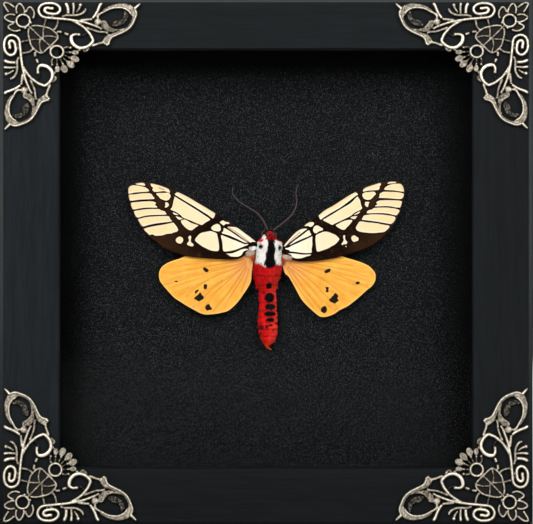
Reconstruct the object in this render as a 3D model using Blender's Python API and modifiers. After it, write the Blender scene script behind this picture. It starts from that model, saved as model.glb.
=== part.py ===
"""Framed moth specimen: a spread tiger moth in a glazed shadow box with cast corner ornaments.

Metres, +Z up. The front faces -Y and the frame stands on its bottom rail. The origin is at
the middle of the bounding box's underside.
"""
import math

import bmesh
import bpy
from mathutils import Matrix, Vector
from mathutils.geometry import delaunay_2d_cdt

MM = 0.001
GAP = 0.3 * MM  # clearance between pieces that touch

# Shadow box
FRAME_WIDTH = 150.0 * MM
FRAME_HEIGHT = 148.2 * MM
FRAME_DEPTH = 28.2 * MM
STILE_WIDTH = 17.0 * MM
TOP_RAIL_WIDTH = 14.35 * MM
BOTTOM_RAIL_WIDTH = 16.3 * MM
OUTER_CHAMFER = 1.12 * MM
INNER_CHAMFER = 0.38 * MM
LIP_DEPTH = 3.0 * MM
REBATE = 5.0 * MM
GLASS_THICKNESS = 2.0 * MM
SPACER_DEPTH = 16.0 * MM
SPACER_WIDTH = 3.0 * MM
MAT_THICKNESS = 3.0 * MM

# Hardware on the back
BUTTON_LENGTH = 18.0 * MM
BUTTON_WIDTH = 6.0 * MM
SHEET_METAL = 0.8 * MM
BUTTON_PIVOT = 7.0 * MM  # from the frame's outer side
BUTTON_SPACING = 70.0 * MM
SCREW_HEAD_RADIUS = 2.4 * MM
SCREW_HEAD_HEIGHT = 1.1 * MM
SCREW_RADIUS = 1.1 * MM
SCREW_LENGTH = 8.0 * MM
HANGER_LENGTH = 40.0 * MM
HANGER_HEIGHT = 7.0 * MM
HANGER_STEP = 1.0 * MM  # how far the toothed middle stands off the rail
HANGER_FOOT = 8.0 * MM
HANGER_TEETH = 9
TOOTH_PITCH = 2.2 * MM
TOOTH_DEPTH = 1.4 * MM
NAIL_HEAD_RADIUS = 1.7 * MM
NAIL_HEAD_HEIGHT = 0.7 * MM
NAIL_RADIUS = 0.6 * MM
NAIL_LENGTH = 9.0 * MM

# Corner ornaments
ORNAMENT_THICKNESS = 1.6 * MM
CORNER_LEAF_REACH = 135.0  # drawing units from the frame face's corner to the leaf's tip

# Depths behind the front face
GLASS_FRONT = LIP_DEPTH + GAP
SPACER_FRONT = GLASS_FRONT + GLASS_THICKNESS + GAP
MAT_FRONT = SPACER_FRONT + SPACER_DEPTH + GAP
PANEL_FRONT = MAT_FRONT + MAT_THICKNESS + GAP

ORNAMENT_PROUD = GAP + ORNAMENT_THICKNESS
BACK_PROUD = GAP + SHEET_METAL + GAP + SCREW_HEAD_HEIGHT
FACE_Y = ORNAMENT_PROUD - (FRAME_DEPTH + ORNAMENT_PROUD + BACK_PROUD) / 2
BACK_Y = FACE_Y + FRAME_DEPTH
MIDDLE_Z = FRAME_HEIGHT / 2

# The front view that the moth and the ornaments are drawn in: pixels, y down
PHOTO_FRAME_WIDTH = 534.0
PHOTO_MIDDLE = (266.0, 261.9)
VIEW_DISTANCE = 1.0
PIXEL = FRAME_WIDTH / PHOTO_FRAME_WIDTH

SPECIMEN_PARTS = "framed_moth_specimen"
CUTTERS = "cutters"


def clear_scene():
    """Remove every object that the scene starts with."""
    for item in list(bpy.data.objects):
        bpy.data.objects.remove(item, do_unlink=True)


def collection(name):
    """Return the named collection, made and linked when it is missing."""
    found = bpy.data.collections.get(name)
    if found is None:
        found = bpy.data.collections.new(name)
        bpy.context.scene.collection.children.link(found)
    return found


def material(name, colour, roughness, metallic=0.0, alpha=1.0):
    """Return a Principled material with the given base colour, roughness and metallic value."""
    made = bpy.data.materials.new(name)
    made.use_nodes = True
    shader = made.node_tree.nodes["Principled BSDF"]
    shader.inputs["Base Color"].default_value = (*colour, 1.0)
    shader.inputs["Roughness"].default_value = roughness
    shader.inputs["Metallic"].default_value = metallic
    shader.inputs["Alpha"].default_value = alpha
    made.diffuse_color = (*colour, alpha)
    return made


def object_from_bmesh(name, bm, finish=None, group=SPECIMEN_PARTS):
    """Make an object of a finished bmesh, with its faces turned outwards."""
    bmesh.ops.recalc_face_normals(bm, faces=bm.faces)
    mesh = bpy.data.meshes.new(name)
    bm.to_mesh(mesh)
    bm.free()
    made = bpy.data.objects.new(name, mesh)
    collection(group).objects.link(made)
    if finish is not None:
        mesh.materials.append(finish)
    return made


def mesh_from_curve(curve_object):
    """Return a bmesh of a curve object's evaluated mesh, with its caps welded."""
    bpy.context.view_layer.update()
    graph = bpy.context.evaluated_depsgraph_get()
    mesh = bpy.data.meshes.new_from_object(curve_object.evaluated_get(graph))
    bm = bmesh.new()
    bm.from_mesh(mesh)
    bm.transform(curve_object.matrix_world)
    bmesh.ops.remove_doubles(bm, verts=bm.verts, dist=1e-6)
    bpy.data.objects.remove(curve_object, do_unlink=True)
    bpy.data.meshes.remove(mesh)
    return bm


def box(name, low, high, finish):
    """Make a box between two opposite corners."""
    size = Vector(high) - Vector(low)
    bm = bmesh.new()
    bmesh.ops.create_cube(bm, size=1.0)
    bmesh.ops.scale(bm, vec=size, verts=bm.verts)
    bmesh.ops.translate(bm, vec=(Vector(low) + Vector(high)) / 2, verts=bm.verts)
    return object_from_bmesh(name, bm, finish)


def prism(outline, extrusion):
    """Return a bmesh of a closed outline of 3-D points extruded along a vector."""
    bm = bmesh.new()
    face = bm.faces.new([bm.verts.new(point) for point in outline])
    grown = bmesh.ops.extrude_face_region(bm, geom=[face])
    moved = [item for item in grown["geom"] if isinstance(item, bmesh.types.BMVert)]
    bmesh.ops.translate(bm, vec=extrusion, verts=moved)
    return bm


def drilled(target, name, places, radius, depth_from, depth_to):
    """Cut round holes along Y through an object, at (x, z) places."""
    bm = bmesh.new()
    for x, z in places:
        hole = bmesh.ops.create_cone(bm, cap_ends=True, segments=12, radius1=radius,
                                     radius2=radius, depth=depth_to - depth_from)
        bmesh.ops.rotate(bm, verts=hole["verts"], cent=(0, 0, 0),
                         matrix=Matrix.Rotation(math.pi / 2, 3, "X"))
        bmesh.ops.translate(bm, verts=hole["verts"], vec=(x, (depth_from + depth_to) / 2, z))
    cutter = object_from_bmesh(name, bm, group=CUTTERS)
    cut_with(target, cutter)


def cut_with(target, cutter, operation="DIFFERENCE"):
    """Add a Boolean modifier to an object and hide its cutter."""
    cutter.hide_render = True
    cutter.display_type = "WIRE"
    modifier = target.modifiers.new(cutter.name, "BOOLEAN")
    modifier.operation = operation
    modifier.solver = "EXACT"
    modifier.object = cutter


def photo_point(x, y, depth):
    """Return the world X and Z of a pixel of the front view, at a depth behind the face."""
    size = PIXEL * (VIEW_DISTANCE + depth) / VIEW_DISTANCE
    return (x - PHOTO_MIDDLE[0]) * size, MIDDLE_Z - (y - PHOTO_MIDDLE[1]) * size


# Frame

OUTER_CORNERS = {
    "top_left": (-FRAME_WIDTH / 2, FRAME_HEIGHT),
    "top_right": (FRAME_WIDTH / 2, FRAME_HEIGHT),
    "bottom_right": (FRAME_WIDTH / 2, 0.0),
    "bottom_left": (-FRAME_WIDTH / 2, 0.0),
}
OPENING_CORNERS = {
    "top_left": (-FRAME_WIDTH / 2 + STILE_WIDTH, FRAME_HEIGHT - TOP_RAIL_WIDTH),
    "top_right": (FRAME_WIDTH / 2 - STILE_WIDTH, FRAME_HEIGHT - TOP_RAIL_WIDTH),
    "bottom_right": (FRAME_WIDTH / 2 - STILE_WIDTH, BOTTOM_RAIL_WIDTH),
    "bottom_left": (-FRAME_WIDTH / 2 + STILE_WIDTH, BOTTOM_RAIL_WIDTH),
}
MEMBERS = {
    "frame_top_rail": ("top_left", "top_right"),
    "frame_right_stile": ("top_right", "bottom_right"),
    "frame_bottom_rail": ("bottom_right", "bottom_left"),
    "frame_left_stile": ("bottom_left", "top_left"),
}


def across(corner, share):
    """Return the point a share of the way from a frame corner to its opening corner."""
    outer = Vector(OUTER_CORNERS[corner])
    inner = Vector(OPENING_CORNERS[corner])
    return outer.lerp(inner, share)


REBATE_SHARE = 1 - REBATE / STILE_WIDTH


def moulding_section():
    """Return the frame's section as (share of the width, depth behind the face) points."""
    outer = OUTER_CHAMFER / STILE_WIDTH
    inner = 1 - INNER_CHAMFER / STILE_WIDTH
    return [
        (outer, 0.0),
        (inner, 0.0),
        (1.0, INNER_CHAMFER),
        (1.0, LIP_DEPTH),
        (REBATE_SHARE, LIP_DEPTH),
        (REBATE_SHARE, FRAME_DEPTH),
        (0.0, FRAME_DEPTH),
        (0.0, OUTER_CHAMFER),
    ]


def frame_member(name, corners, finish):
    """Make one mitred side of the frame, lofted from corner to corner."""
    start, end = corners
    along = (Vector(OUTER_CORNERS[end]) - Vector(OUTER_CORNERS[start])).normalized()
    bm = bmesh.new()
    rings = []
    for corner, inward in ((start, along), (end, -along)):
        ring = []
        for share, depth in moulding_section():
            point = across(corner, share) + inward * GAP / 2
            ring.append(bm.verts.new((point.x, FACE_Y + depth, point.y)))
        rings.append(ring)
        bm.faces.new(ring)
    edges = [bm.edges.get((ring[i - 1], ring[i])) for ring in rings for i in range(len(ring))]
    bmesh.ops.bridge_loops(bm, edges=edges)
    return object_from_bmesh(name, bm, finish)


def cavity():
    """Return the low and high (x, z) corners of the space inside the rebate, less the gap."""
    low = across("bottom_left", REBATE_SHARE) + Vector((GAP, GAP))
    high = across("top_right", REBATE_SHARE) - Vector((GAP, GAP))
    return low, high


def sheet(name, front, thickness, finish):
    """Make a flat sheet that fills the rebate, its front at a depth behind the face."""
    low, high = cavity()
    return box(name, (low.x, FACE_Y + front, low.y),
               (high.x, FACE_Y + front + thickness, high.y), finish)


def spacers(finish):
    """Make the four strips that hold the glass off the mat."""
    low, high = cavity()
    front = FACE_Y + SPACER_FRONT
    back = front + SPACER_DEPTH
    width = SPACER_WIDTH
    box("spacer_left", (low.x, front, low.y), (low.x + width, back, high.y), finish)
    box("spacer_right", (high.x - width, front, low.y), (high.x, back, high.y), finish)
    inner_low = low.x + width + GAP
    inner_high = high.x - width - GAP
    box("spacer_bottom", (inner_low, front, low.y), (inner_high, back, low.y + width), finish)
    box("spacer_top", (inner_low, front, high.y - width), (inner_high, back, high.y), finish)


# Hardware on the back

def headed_pin(name, x, z, seat_y, head_radius, head_height, radius, length, finish):
    """Make a screw or nail along Y: a domed head seated at a depth, its shank towards the front."""
    profile = [(0.0, head_height), (head_radius, head_height * 0.4), (head_radius, 0.0),
               (radius, 0.0), (radius, -length + radius), (0.0, -length)]
    bm = bmesh.new()
    edges = []
    verts = [bm.verts.new((reach, height, 0.0)) for reach, height in profile]
    for first, second in zip(verts, verts[1:]):
        edges.append(bm.edges.new((first, second)))
    bmesh.ops.spin(bm, geom=verts + edges, cent=(0, 0, 0), axis=(0, 1, 0),
                   angle=math.tau, steps=10, use_merge=True)
    bmesh.ops.remove_doubles(bm, verts=bm.verts, dist=1e-6)
    bmesh.ops.translate(bm, verts=bm.verts, vec=(x, seat_y, z))
    return object_from_bmesh(name, bm, finish)


def button_outline(length, width, steps=4):
    """Return a round-ended strip's outline from its pivot at the origin, along +X."""
    radius = width / 2
    points = []
    for centre, start in ((length - width, -90), (0.0, 90)):
        for step in range(steps + 1):
            angle = math.radians(start + 180 * step / steps)
            points.append((centre + radius * math.cos(angle), radius * math.sin(angle)))
    return points


def turn_buttons(finish):
    """Make the four turn buttons and screws that keep the back panel in."""
    plate_y = BACK_Y + GAP
    holes = {"left": [], "right": []}
    for side, sign in (("left", 1), ("right", -1)):
        for row, offset in (("upper", BUTTON_SPACING / 2), ("lower", -BUTTON_SPACING / 2)):
            x = -sign * (FRAME_WIDTH / 2 - BUTTON_PIVOT)
            z = MIDDLE_Z + offset
            outline = [(x + sign * u, plate_y, z + v)
                       for u, v in button_outline(BUTTON_LENGTH, BUTTON_WIDTH)]
            name = f"turn_button_{side}_{row}"
            plate = object_from_bmesh(name, prism(outline, (0, SHEET_METAL, 0)), finish)
            drilled(plate, f"{name}_hole", [(x, z)], SCREW_RADIUS + GAP,
                    plate_y - SHEET_METAL, plate_y + 2 * SHEET_METAL)
            headed_pin(f"screw_{side}_{row}", x, z, plate_y + SHEET_METAL + GAP,
                       SCREW_HEAD_RADIUS, SCREW_HEAD_HEIGHT, SCREW_RADIUS, SCREW_LENGTH, finish)
            holes[side].append((x, z))
    for side, places in holes.items():
        stile = bpy.data.objects[f"frame_{side}_stile"]
        drilled(stile, f"{side}_stile_pilot_holes", places, SCREW_RADIUS + GAP,
                BACK_Y - SCREW_LENGTH, BACK_Y + SHEET_METAL)


def sawtooth_hanger(finish):
    """Make the stepped, toothed hanger plate and its two nails on the top rail."""
    foot_y = BACK_Y + GAP
    raised_y = foot_y + HANGER_STEP
    half = HANGER_LENGTH / 2
    bend = half - HANGER_FOOT
    run = HANGER_STEP
    front = [(-half, foot_y), (-bend, foot_y), (-bend + run, raised_y),
             (bend - run, raised_y), (bend, foot_y), (half, foot_y)]
    back = [(x, y + SHEET_METAL) for x, y in reversed(front)]
    middle_z = FRAME_HEIGHT - TOP_RAIL_WIDTH / 2
    low_z = middle_z - HANGER_HEIGHT / 2
    outline = [(x, y, low_z) for x, y in front + back]
    plate = object_from_bmesh("sawtooth_hanger", prism(outline, (0, 0, HANGER_HEIGHT)), finish)

    comb_half = HANGER_TEETH * TOOTH_PITCH / 2
    below = low_z - TOOTH_DEPTH
    comb = [(-comb_half, foot_y, below)]
    for tooth in range(HANGER_TEETH):
        left = -comb_half + tooth * TOOTH_PITCH
        comb.append((left + TOOTH_PITCH / 8, foot_y, low_z - TOOTH_DEPTH / 4))
        comb.append((left + TOOTH_PITCH / 2, foot_y, low_z + TOOTH_DEPTH))
    comb.append((comb_half - TOOTH_PITCH / 8, foot_y, low_z - TOOTH_DEPTH / 4))
    comb.append((comb_half, foot_y, below))
    cutter = object_from_bmesh("hanger_teeth", prism(comb, (0, 4 * HANGER_STEP, 0)), group=CUTTERS)
    cut_with(plate, cutter)

    places = []
    for side, sign in (("left", -1), ("right", 1)):
        x = sign * (half - HANGER_FOOT / 2)
        headed_pin(f"hanger_nail_{side}", x, middle_z, foot_y + SHEET_METAL + GAP,
                   NAIL_HEAD_RADIUS, NAIL_HEAD_HEIGHT, NAIL_RADIUS, NAIL_LENGTH, finish)
        places.append((x, middle_z))
    drilled(plate, "hanger_nail_holes", places, NAIL_RADIUS + GAP,
            foot_y - SHEET_METAL, foot_y + 2 * SHEET_METAL)
    drilled(bpy.data.objects["frame_top_rail"], "top_rail_pilot_holes", places,
            NAIL_RADIUS + GAP, BACK_Y - NAIL_LENGTH, BACK_Y + SHEET_METAL)


# Corner ornaments: one half is drawn from the frame face's corner, u along the rail and
# v down the stile, and the other half mirrors it across the diagonal

PETALS = [
    [(13, 13), (7, 12.6), (2.2, 8), (0, 2), (2, 0), (8, 1.8), (12.6, 7)],
    [(15, 15), (12.2, 9), (12.8, 5), (16, 1.4), (19.3, 2.8), (22, 7), (21.5, 14)],
    [(22, 14), (23, 7.5), (26.5, 4.2), (29.8, 6.5), (31.8, 12), (30.3, 18.5), (25, 17)],
]
HEART_HALF = [(25, 25), (33, 24.2), (40, 25.2), (50, 29.5), (54, 34), (55, 38), (47.3, 47.3)]
LEAF = [(90.5, 16), (92.5, 12.5), (104, 4.2), (110, 2), (116, 1.4), (122, 2.2), (128, 5),
        (133.3, 0), (136, 1), (131.8, 8), (131.5, 12), (125, 26.8), (119, 31.5), (106, 39.6),
        (104.5, 45.5), (102, 46.8), (99, 44.2), (98.3, 40.5), (108, 32.3), (102, 31.3),
        (96.5, 24.8), (91.6, 25), (89.3, 21)]
RINGS = [((20.0, 20.0), 7.6, 5.2), ((53.0, 52.7), 7.4, 5.2)]
MERGE_ANGLE = 15.0  # degrees, below which a bend of the merged outline is taken out
BROAD = 3.0
STROKE = 2.4
THIN = 1.8
# each stroke's width and points, the first of them at its free end where it has one
TIPPED_STROKES = [
    (STROKE, [(49, 7), (44, 6.2), (41, 8.7), (43.5, 11.7), (52, 12.7), (55.7, 8), (52.5, 2.7),
              (46, 1), (38, 3.4), (35, 8.5), (37, 13.5), (41, 16.5), (66, 19), (78, 21.2),
              (90, 25.3), (94, 27.6)]),
    (STROKE, [(81, 8), (77, 12.6), (71, 14), (62, 14), (58, 17)]),
    (STROKE, [(61.5, 1.2), (64.3, 6.5), (64.5, 14)]),
    (STROKE, [(69.8, 1.2), (68.9, 14)]),
    (BROAD, [(76.3, 3), (75.2, 7), (70.5, 13.5)]),
    (STROKE, [(96.3, 1.2), (89, 17.6)]),
    (STROKE, [(74.5, 34.4), (70.5, 34.5), (67, 37), (67, 41), (70.5, 46), (76, 48.6),
              (83, 47.3), (88, 41.5), (87, 37.5), (82, 30), (74, 23), (66, 19)]),
    (THIN, [(101, 32.6), (90, 31), (79, 27.4)]),
    (BROAD, [(71, 54), (67.6, 53.4)]),
    (5.0, [(71.8, 61.2), (69.3, 59.2)]),
]
JOINED_STROKES = [
    (STROKE, [(75, 20.6), (90, 17.6)]),
    (BROAD, [(69.5, 45.5), (75.4, 50.4)]),
    (BROAD, [(78.4, 50.2), (82, 50.2), (86, 44.6)]),
    (STROKE, [(84.5, 45.4), (91, 45), (99.5, 42.2)]),
    (THIN, [(41.8, 16.5), (40.2, 27)]),
    (THIN, [(54.3, 17.5), (53.2, 24), (49.5, 31)]),
    (THIN, [(52, 31.6), (58, 31.6), (67.5, 38)]),
    (STROKE, [(58, 49.8), (63, 47.6), (72, 47.6)]),
    (THIN, [(59.5, 52.7), (69, 53.6)]),
    (THIN, [(59.3, 55.6), (70.5, 60.3)]),
    (THIN, [(57.7, 57.4), (62.6, 62.2), (66, 66)]),
]
DIAGONAL_LOBE = (4.4, [(68.8, 68.8), (64.4, 64.4)])
CORNERS = {
    "top_left": (-1, 1, 138.0, 128.0),
    "top_right": (1, 1, 134.0, 127.0),
    "bottom_left": (-1, -1, 134.0, 134.0),
    "bottom_right": (1, -1, 134.0, 134.0),
}


def stroke_faces(width, points, tipped=False):
    """Return a stroke's polygons, one quad for each of its lengths, with a blunt first end."""
    line = [Vector(point) for point in points]
    sides = []
    for i, point in enumerate(line):
        before = line[max(i - 1, 0)]
        after = line[min(i + 1, len(line) - 1)]
        along = (after - before).normalized()
        normal = Vector((-along.y, along.x)) * width / 2
        sides.append((point + normal, point - normal))
    faces = [[a, b, d, c] for (a, b), (c, d) in zip(sides, sides[1:])]
    if tipped:
        tip = line[0] + (line[0] - line[1]).normalized() * width / 2
        faces.append([*sides[0], tip])
    return faces


def ring_faces(centre, outer, inner, steps=12):
    """Return the quads of a flat ring."""
    rays = [Vector((math.cos(math.tau * i / steps), math.sin(math.tau * i / steps)))
            for i in range(steps + 1)]
    middle = Vector(centre)
    return [[middle + a * outer, middle + b * outer, middle + b * inner, middle + a * inner]
            for a, b in zip(rays, rays[1:])]


def ornament_faces():
    """Return every overlapping polygon of one corner ornament, in drawing units."""
    half = [[Vector(point) for point in petal] for petal in PETALS]
    half.append([Vector(point) for point in LEAF])
    half.append([Vector(point) for point in HEART_HALF])
    for width, points in TIPPED_STROKES:
        half.extend(stroke_faces(width, points, tipped=True))
    for width, points in JOINED_STROKES:
        half.extend(stroke_faces(width, points))
    mirrored = [[Vector((point.y, point.x)) for point in face] for face in half]
    middle = stroke_faces(*DIAGONAL_LOBE, tipped=True)
    for centre, outer, inner in RINGS:
        middle.extend(ring_faces(centre, outer, inner))
    return half + mirrored + middle


def merged_outline(faces):
    """Return a bmesh of the union of overlapping flat polygons."""
    points = []
    polygons = []
    for face in faces:
        area = sum(a.x * b.y - b.x * a.y for a, b in zip(face, face[1:] + face[:1]))
        ordered = face if area > 0 else list(reversed(face))
        polygons.append(list(range(len(points), len(points) + len(ordered))))
        points.extend(ordered)
    verts, _, triangles, _, _, sources = delaunay_2d_cdt(points, [], polygons, 1, 0.05)
    bm = bmesh.new()
    made = [bm.verts.new((point.x, point.y, 0.0)) for point in verts]
    for triangle, source in zip(triangles, sources):
        if source:
            bm.faces.new([made[index] for index in triangle])
    bmesh.ops.delete(bm, geom=[v for v in bm.verts if not v.link_faces], context="VERTS")
    bmesh.ops.dissolve_limit(bm, angle_limit=math.radians(MERGE_ANGLE), verts=bm.verts, edges=bm.edges)
    return bm


def corner_ornament(corner, finish):
    """Make one cast corner ornament, a pierced plate over the frame's mitre."""
    side, up, reach_u, reach_v = CORNERS[corner]
    scale_u = PIXEL * reach_u / CORNER_LEAF_REACH
    scale_v = PIXEL * reach_v / CORNER_LEAF_REACH
    face_x = FRAME_WIDTH / 2 - OUTER_CHAMFER
    face_z = FRAME_HEIGHT / 2 - OUTER_CHAMFER
    bm = merged_outline(ornament_faces())
    for vert in bm.verts:
        u, v = vert.co.x, vert.co.y
        vert.co = (side * (face_x - u * scale_u), FACE_Y - ORNAMENT_PROUD,
                   MIDDLE_Z + up * (face_z - v * scale_v))
    grown = bmesh.ops.extrude_face_region(bm, geom=list(bm.faces), use_keep_orig=True)
    moved = [item for item in grown["geom"] if isinstance(item, bmesh.types.BMVert)]
    bmesh.ops.translate(bm, vec=(0, ORNAMENT_THICKNESS, 0), verts=moved)
    bmesh.ops.triangulate(bm, faces=bm.faces)
    return object_from_bmesh(f"corner_ornament_{corner}", bm, finish)


# Moth

# y in the front view, the body's left and right edges there, and its low and high surfaces
# in millimetres above the mat
BODY_STATIONS = [
    (231.2, 268.2, 271.4, 3.0, 4.4),
    (233.5, 265.5, 273.8, 2.2, 5.6),
    (236.5, 261.5, 276.6, 1.6, 6.4),
    (240.0, 259.2, 278.4, 1.2, 6.7),
    (243.0, 257.6, 280.6, 0.6, 7.2),
    (248.0, 256.6, 282.0, 0.3, 7.7),
    (256.0, 256.0, 281.2, 0.3, 7.8),
    (264.0, 255.0, 281.6, 0.3, 7.6),
    (271.0, 254.0, 281.8, 0.3, 7.2),
    (279.0, 254.4, 280.2, 0.3, 6.8),
    (286.0, 256.0, 278.8, 0.3, 6.4),
    (292.0, 258.0, 277.0, 0.3, 6.0),
    (301.0, 258.4, 277.0, 0.3, 5.8),
    (311.0, 258.2, 277.4, 0.3, 5.9),
    (321.0, 257.2, 278.2, 0.3, 6.0),
    (330.0, 258.0, 278.2, 0.3, 5.6),
    (338.0, 259.6, 276.8, 0.5, 5.0),
    (343.5, 262.4, 273.6, 0.9, 4.2),
    (347.0, 265.4, 270.8, 1.3, 3.6),
    (349.8, 267.8, 271.8, 1.7, 3.2),
]
BODY_SIDES = 12
LEG_RADIUS = 0.35 * MM
# each leg's points in the front view with their height above the mat in millimetres
LEGS = {
    "fore_left": [(266.5, 241, 2.6), (262.2, 236, 3.2), (258.6, 232.4, 4.0), (264.6, 229.4, 4.2)],
    "fore_right": [(273.5, 241, 2.6), (276.0, 236.5, 2.4), (279.0, 232.6, 1.4), (276.4, 228.6, 0.9)],
    "middle_left": [(262, 254, 1.9), (251, 256, 1.3), (243, 265, 1.0), (238, 277, 0.9)],
    "middle_right": [(276, 254, 1.9), (288, 258, 1.3), (296, 267, 1.0), (300, 279, 0.9)],
    "hind_left": [(263, 266, 1.7), (253, 266, 1.1), (244, 274, 0.9), (238, 286, 0.8)],
    "hind_right": [(275, 266, 1.7), (284.5, 265, 1.1), (293, 273, 0.9), (299, 285, 0.8)],
}
ANTENNAE = {
    "antenna_left": [(267.4, 229.4), (262.2, 219), (256, 212.2), (247, 206.6), (238.5, 201),
                     (233.4, 195.2), (232.2, 191), (233.2, 187)],
    "antenna_right": [(273.4, 230), (282, 223.6), (290.2, 216.4), (295.2, 208.6), (296.8, 200.6),
                      (296.0, 194.0), (296.8, 188), (299, 184.4)],
}
ANTENNA_RADIUS = 0.28 * MM
ANTENNA_HEIGHTS = (4.6 * MM, 3.0 * MM)  # above the mat, at the head and at the tip

FOREWING_HEIGHT = 4.5 * MM  # above the mat, at the root
HINDWING_HEIGHT = 3.7 * MM
WING_THICKNESS = 0.4 * MM
WING_DROOP = 1.1 * MM  # how much nearer the mat a forewing's tip is than its root
WING_SPAN = 40.0 * MM
WINGS = {
    "forewing_left": (FOREWING_HEIGHT, [
        (253.4, 240.8), (241, 230.4), (226, 219.8), (210, 210.2), (190, 198.2), (172, 190),
        (156, 184.2), (141.5, 182.4), (131.5, 184.4), (128.2, 191), (130, 202), (135, 215),
        (143.5, 229), (152.6, 238.8), (163, 247), (181, 254.4), (202, 258), (222, 259.3),
        (238, 259), (247, 253.2), (252.6, 248.6)]),
    "forewing_right": (FOREWING_HEIGHT, [
        (285.8, 242.2), (295, 233), (309, 222), (325, 210.3), (342, 200), (361, 189.2),
        (377, 183.2), (390, 181.2), (399.6, 182.8), (404.2, 191), (401.5, 205), (395.5, 220),
        (385, 235), (370, 246), (350, 253.6), (328, 259.3), (306, 261.6), (292, 259.4),
        (286.2, 252)]),
    "hindwing_left": (HINDWING_HEIGHT, [
        (252.4, 250.5), (225, 249), (200, 252), (180, 258.4), (165, 264.2), (159, 273),
        (161.5, 283.6), (174, 296.6), (194, 309.8), (208, 314.7), (227, 311), (242, 296.4),
        (250.6, 281.6), (251.2, 268)]),
    "hindwing_right": (HINDWING_HEIGHT, [
        (285.6, 252.5), (312, 250), (335, 254), (354, 260), (369, 266), (375.6, 276),
        (370.6, 287.4), (354, 301.4), (337, 312.2), (323, 317), (312, 310.6), (300, 297.6),
        (289.6, 278), (284.2, 266)]),
}


def mat_depth(height):
    """Return the depth behind the face of a height above the mat."""
    return MAT_FRONT - height


def loft(rings):
    """Return a bmesh closed over rings of points that have the same count."""
    bm = bmesh.new()
    loops = [[bm.verts.new(point) for point in ring] for ring in rings]
    for first, second in zip(loops, loops[1:]):
        for i in range(len(first)):
            bm.faces.new((first[i - 1], first[i], second[i], second[i - 1]))
    bm.faces.new(loops[0])
    bm.faces.new(loops[-1])
    return bm


def tube(name, points, radii, sides_resolution=1):
    """Return a bmesh of a smooth round tube through points, with a radius at each of them."""
    curve = bpy.data.curves.new(name, "CURVE")
    curve.dimensions = "3D"
    curve.bevel_depth = 1.0
    curve.bevel_resolution = sides_resolution
    curve.resolution_u = 2
    curve.use_fill_caps = True
    spline = curve.splines.new("BEZIER")
    spline.bezier_points.add(len(points) - 1)
    for knot, point, radius in zip(spline.bezier_points, points, radii):
        knot.co = point
        knot.handle_left_type = "AUTO"
        knot.handle_right_type = "AUTO"
        knot.radius = radius
    made = bpy.data.objects.new(name, curve)
    collection(SPECIMEN_PARTS).objects.link(made)
    return mesh_from_curve(made)


def moth_body(finish):
    """Make the head, thorax and abdomen as one body with the folded legs joined on."""
    rings = []
    for y, left, right, low, high in BODY_STATIONS:
        depth = mat_depth((low + high) / 2 * MM)
        x_left, z = photo_point(left, y, depth)
        x_right, _ = photo_point(right, y, depth)
        half_height = (high - low) / 2 * MM
        ring = []
        for i in range(BODY_SIDES):
            angle = math.tau * i / BODY_SIDES
            ring.append(((x_left + x_right) / 2 + math.cos(angle) * (x_right - x_left) / 2,
                         FACE_Y + depth + math.sin(angle) * half_height, z))
        rings.append(ring)
    body = object_from_bmesh("moth_body", loft(rings), finish)
    for name, route in LEGS.items():
        points = []
        for x, y, height in route:
            depth = mat_depth(height * MM)
            world_x, world_z = photo_point(x, y, depth)
            points.append((world_x, FACE_Y + depth, world_z))
        radii = [LEG_RADIUS, LEG_RADIUS, LEG_RADIUS * 0.8, LEG_RADIUS * 0.55]
        leg = object_from_bmesh(f"leg_{name}", tube(name, points, radii, 0), group=CUTTERS)
        cut_with(body, leg, "UNION")
    return body


def antenna(name, finish):
    """Make one thread-like antenna, tapering from the head to its tip."""
    route = ANTENNAE[name]
    last = len(route) - 1
    points = []
    radii = []
    for i, (x, y) in enumerate(route):
        share = i / last
        height = ANTENNA_HEIGHTS[0] + (ANTENNA_HEIGHTS[1] - ANTENNA_HEIGHTS[0]) * share
        depth = mat_depth(height)
        world_x, world_z = photo_point(x, y, depth)
        points.append((world_x, FACE_Y + depth, world_z))
        radii.append(ANTENNA_RADIUS * (1 - 0.55 * share))
    return object_from_bmesh(name, tube(name, points, radii), finish)


def wing(name, finish):
    """Make one wing: a smooth flat outline, creased across its length and given a thickness."""
    height, outline = WINGS[name]
    depth = mat_depth(height)
    curve = bpy.data.curves.new(name, "CURVE")
    curve.dimensions = "2D"
    curve.fill_mode = "BOTH"
    curve.resolution_u = 2
    spline = curve.splines.new("BEZIER")
    spline.use_cyclic_u = True
    spline.bezier_points.add(len(outline) - 1)
    for knot, (x, y) in zip(spline.bezier_points, outline):
        world_x, world_z = photo_point(x, y, depth)
        knot.co = (world_x, world_z, 0.0)
        knot.handle_left_type = "AUTO"
        knot.handle_right_type = "AUTO"
    flat = bpy.data.objects.new(name, curve)
    collection(SPECIMEN_PARTS).objects.link(flat)
    bm = mesh_from_curve(flat)
    bmesh.ops.dissolve_limit(bm, angle_limit=math.radians(1), verts=bm.verts, edges=bm.edges)
    side = -1 if name.endswith("left") else 1
    for crease in (0.25, 0.5, 0.75):
        geometry = list(bm.verts) + list(bm.edges) + list(bm.faces)
        bmesh.ops.bisect_plane(bm, geom=geometry, plane_co=(side * crease * WING_SPAN, 0, 0),
                               plane_no=(1, 0, 0))
    for vert in bm.verts:
        share = abs(vert.co.x) / WING_SPAN
        vert.co = (vert.co.x, FACE_Y + depth + WING_DROOP * droop_curve(share), vert.co.y)
    bmesh.ops.triangulate(bm, faces=bm.faces)
    made = object_from_bmesh(name, bm, finish)
    wall = made.modifiers.new("membrane", "SOLIDIFY")
    wall.thickness = WING_THICKNESS
    wall.offset = 0.0
    return made


def droop_curve(share):
    """Return how far the wing has dropped at a share of its span, straight between creases."""
    steps = 4
    lower = min(math.floor(share * steps), steps - 1) / steps
    upper = lower + 1 / steps
    blend = (share - lower) * steps
    return lower ** 2 + (upper ** 2 - lower ** 2) * blend


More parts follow.
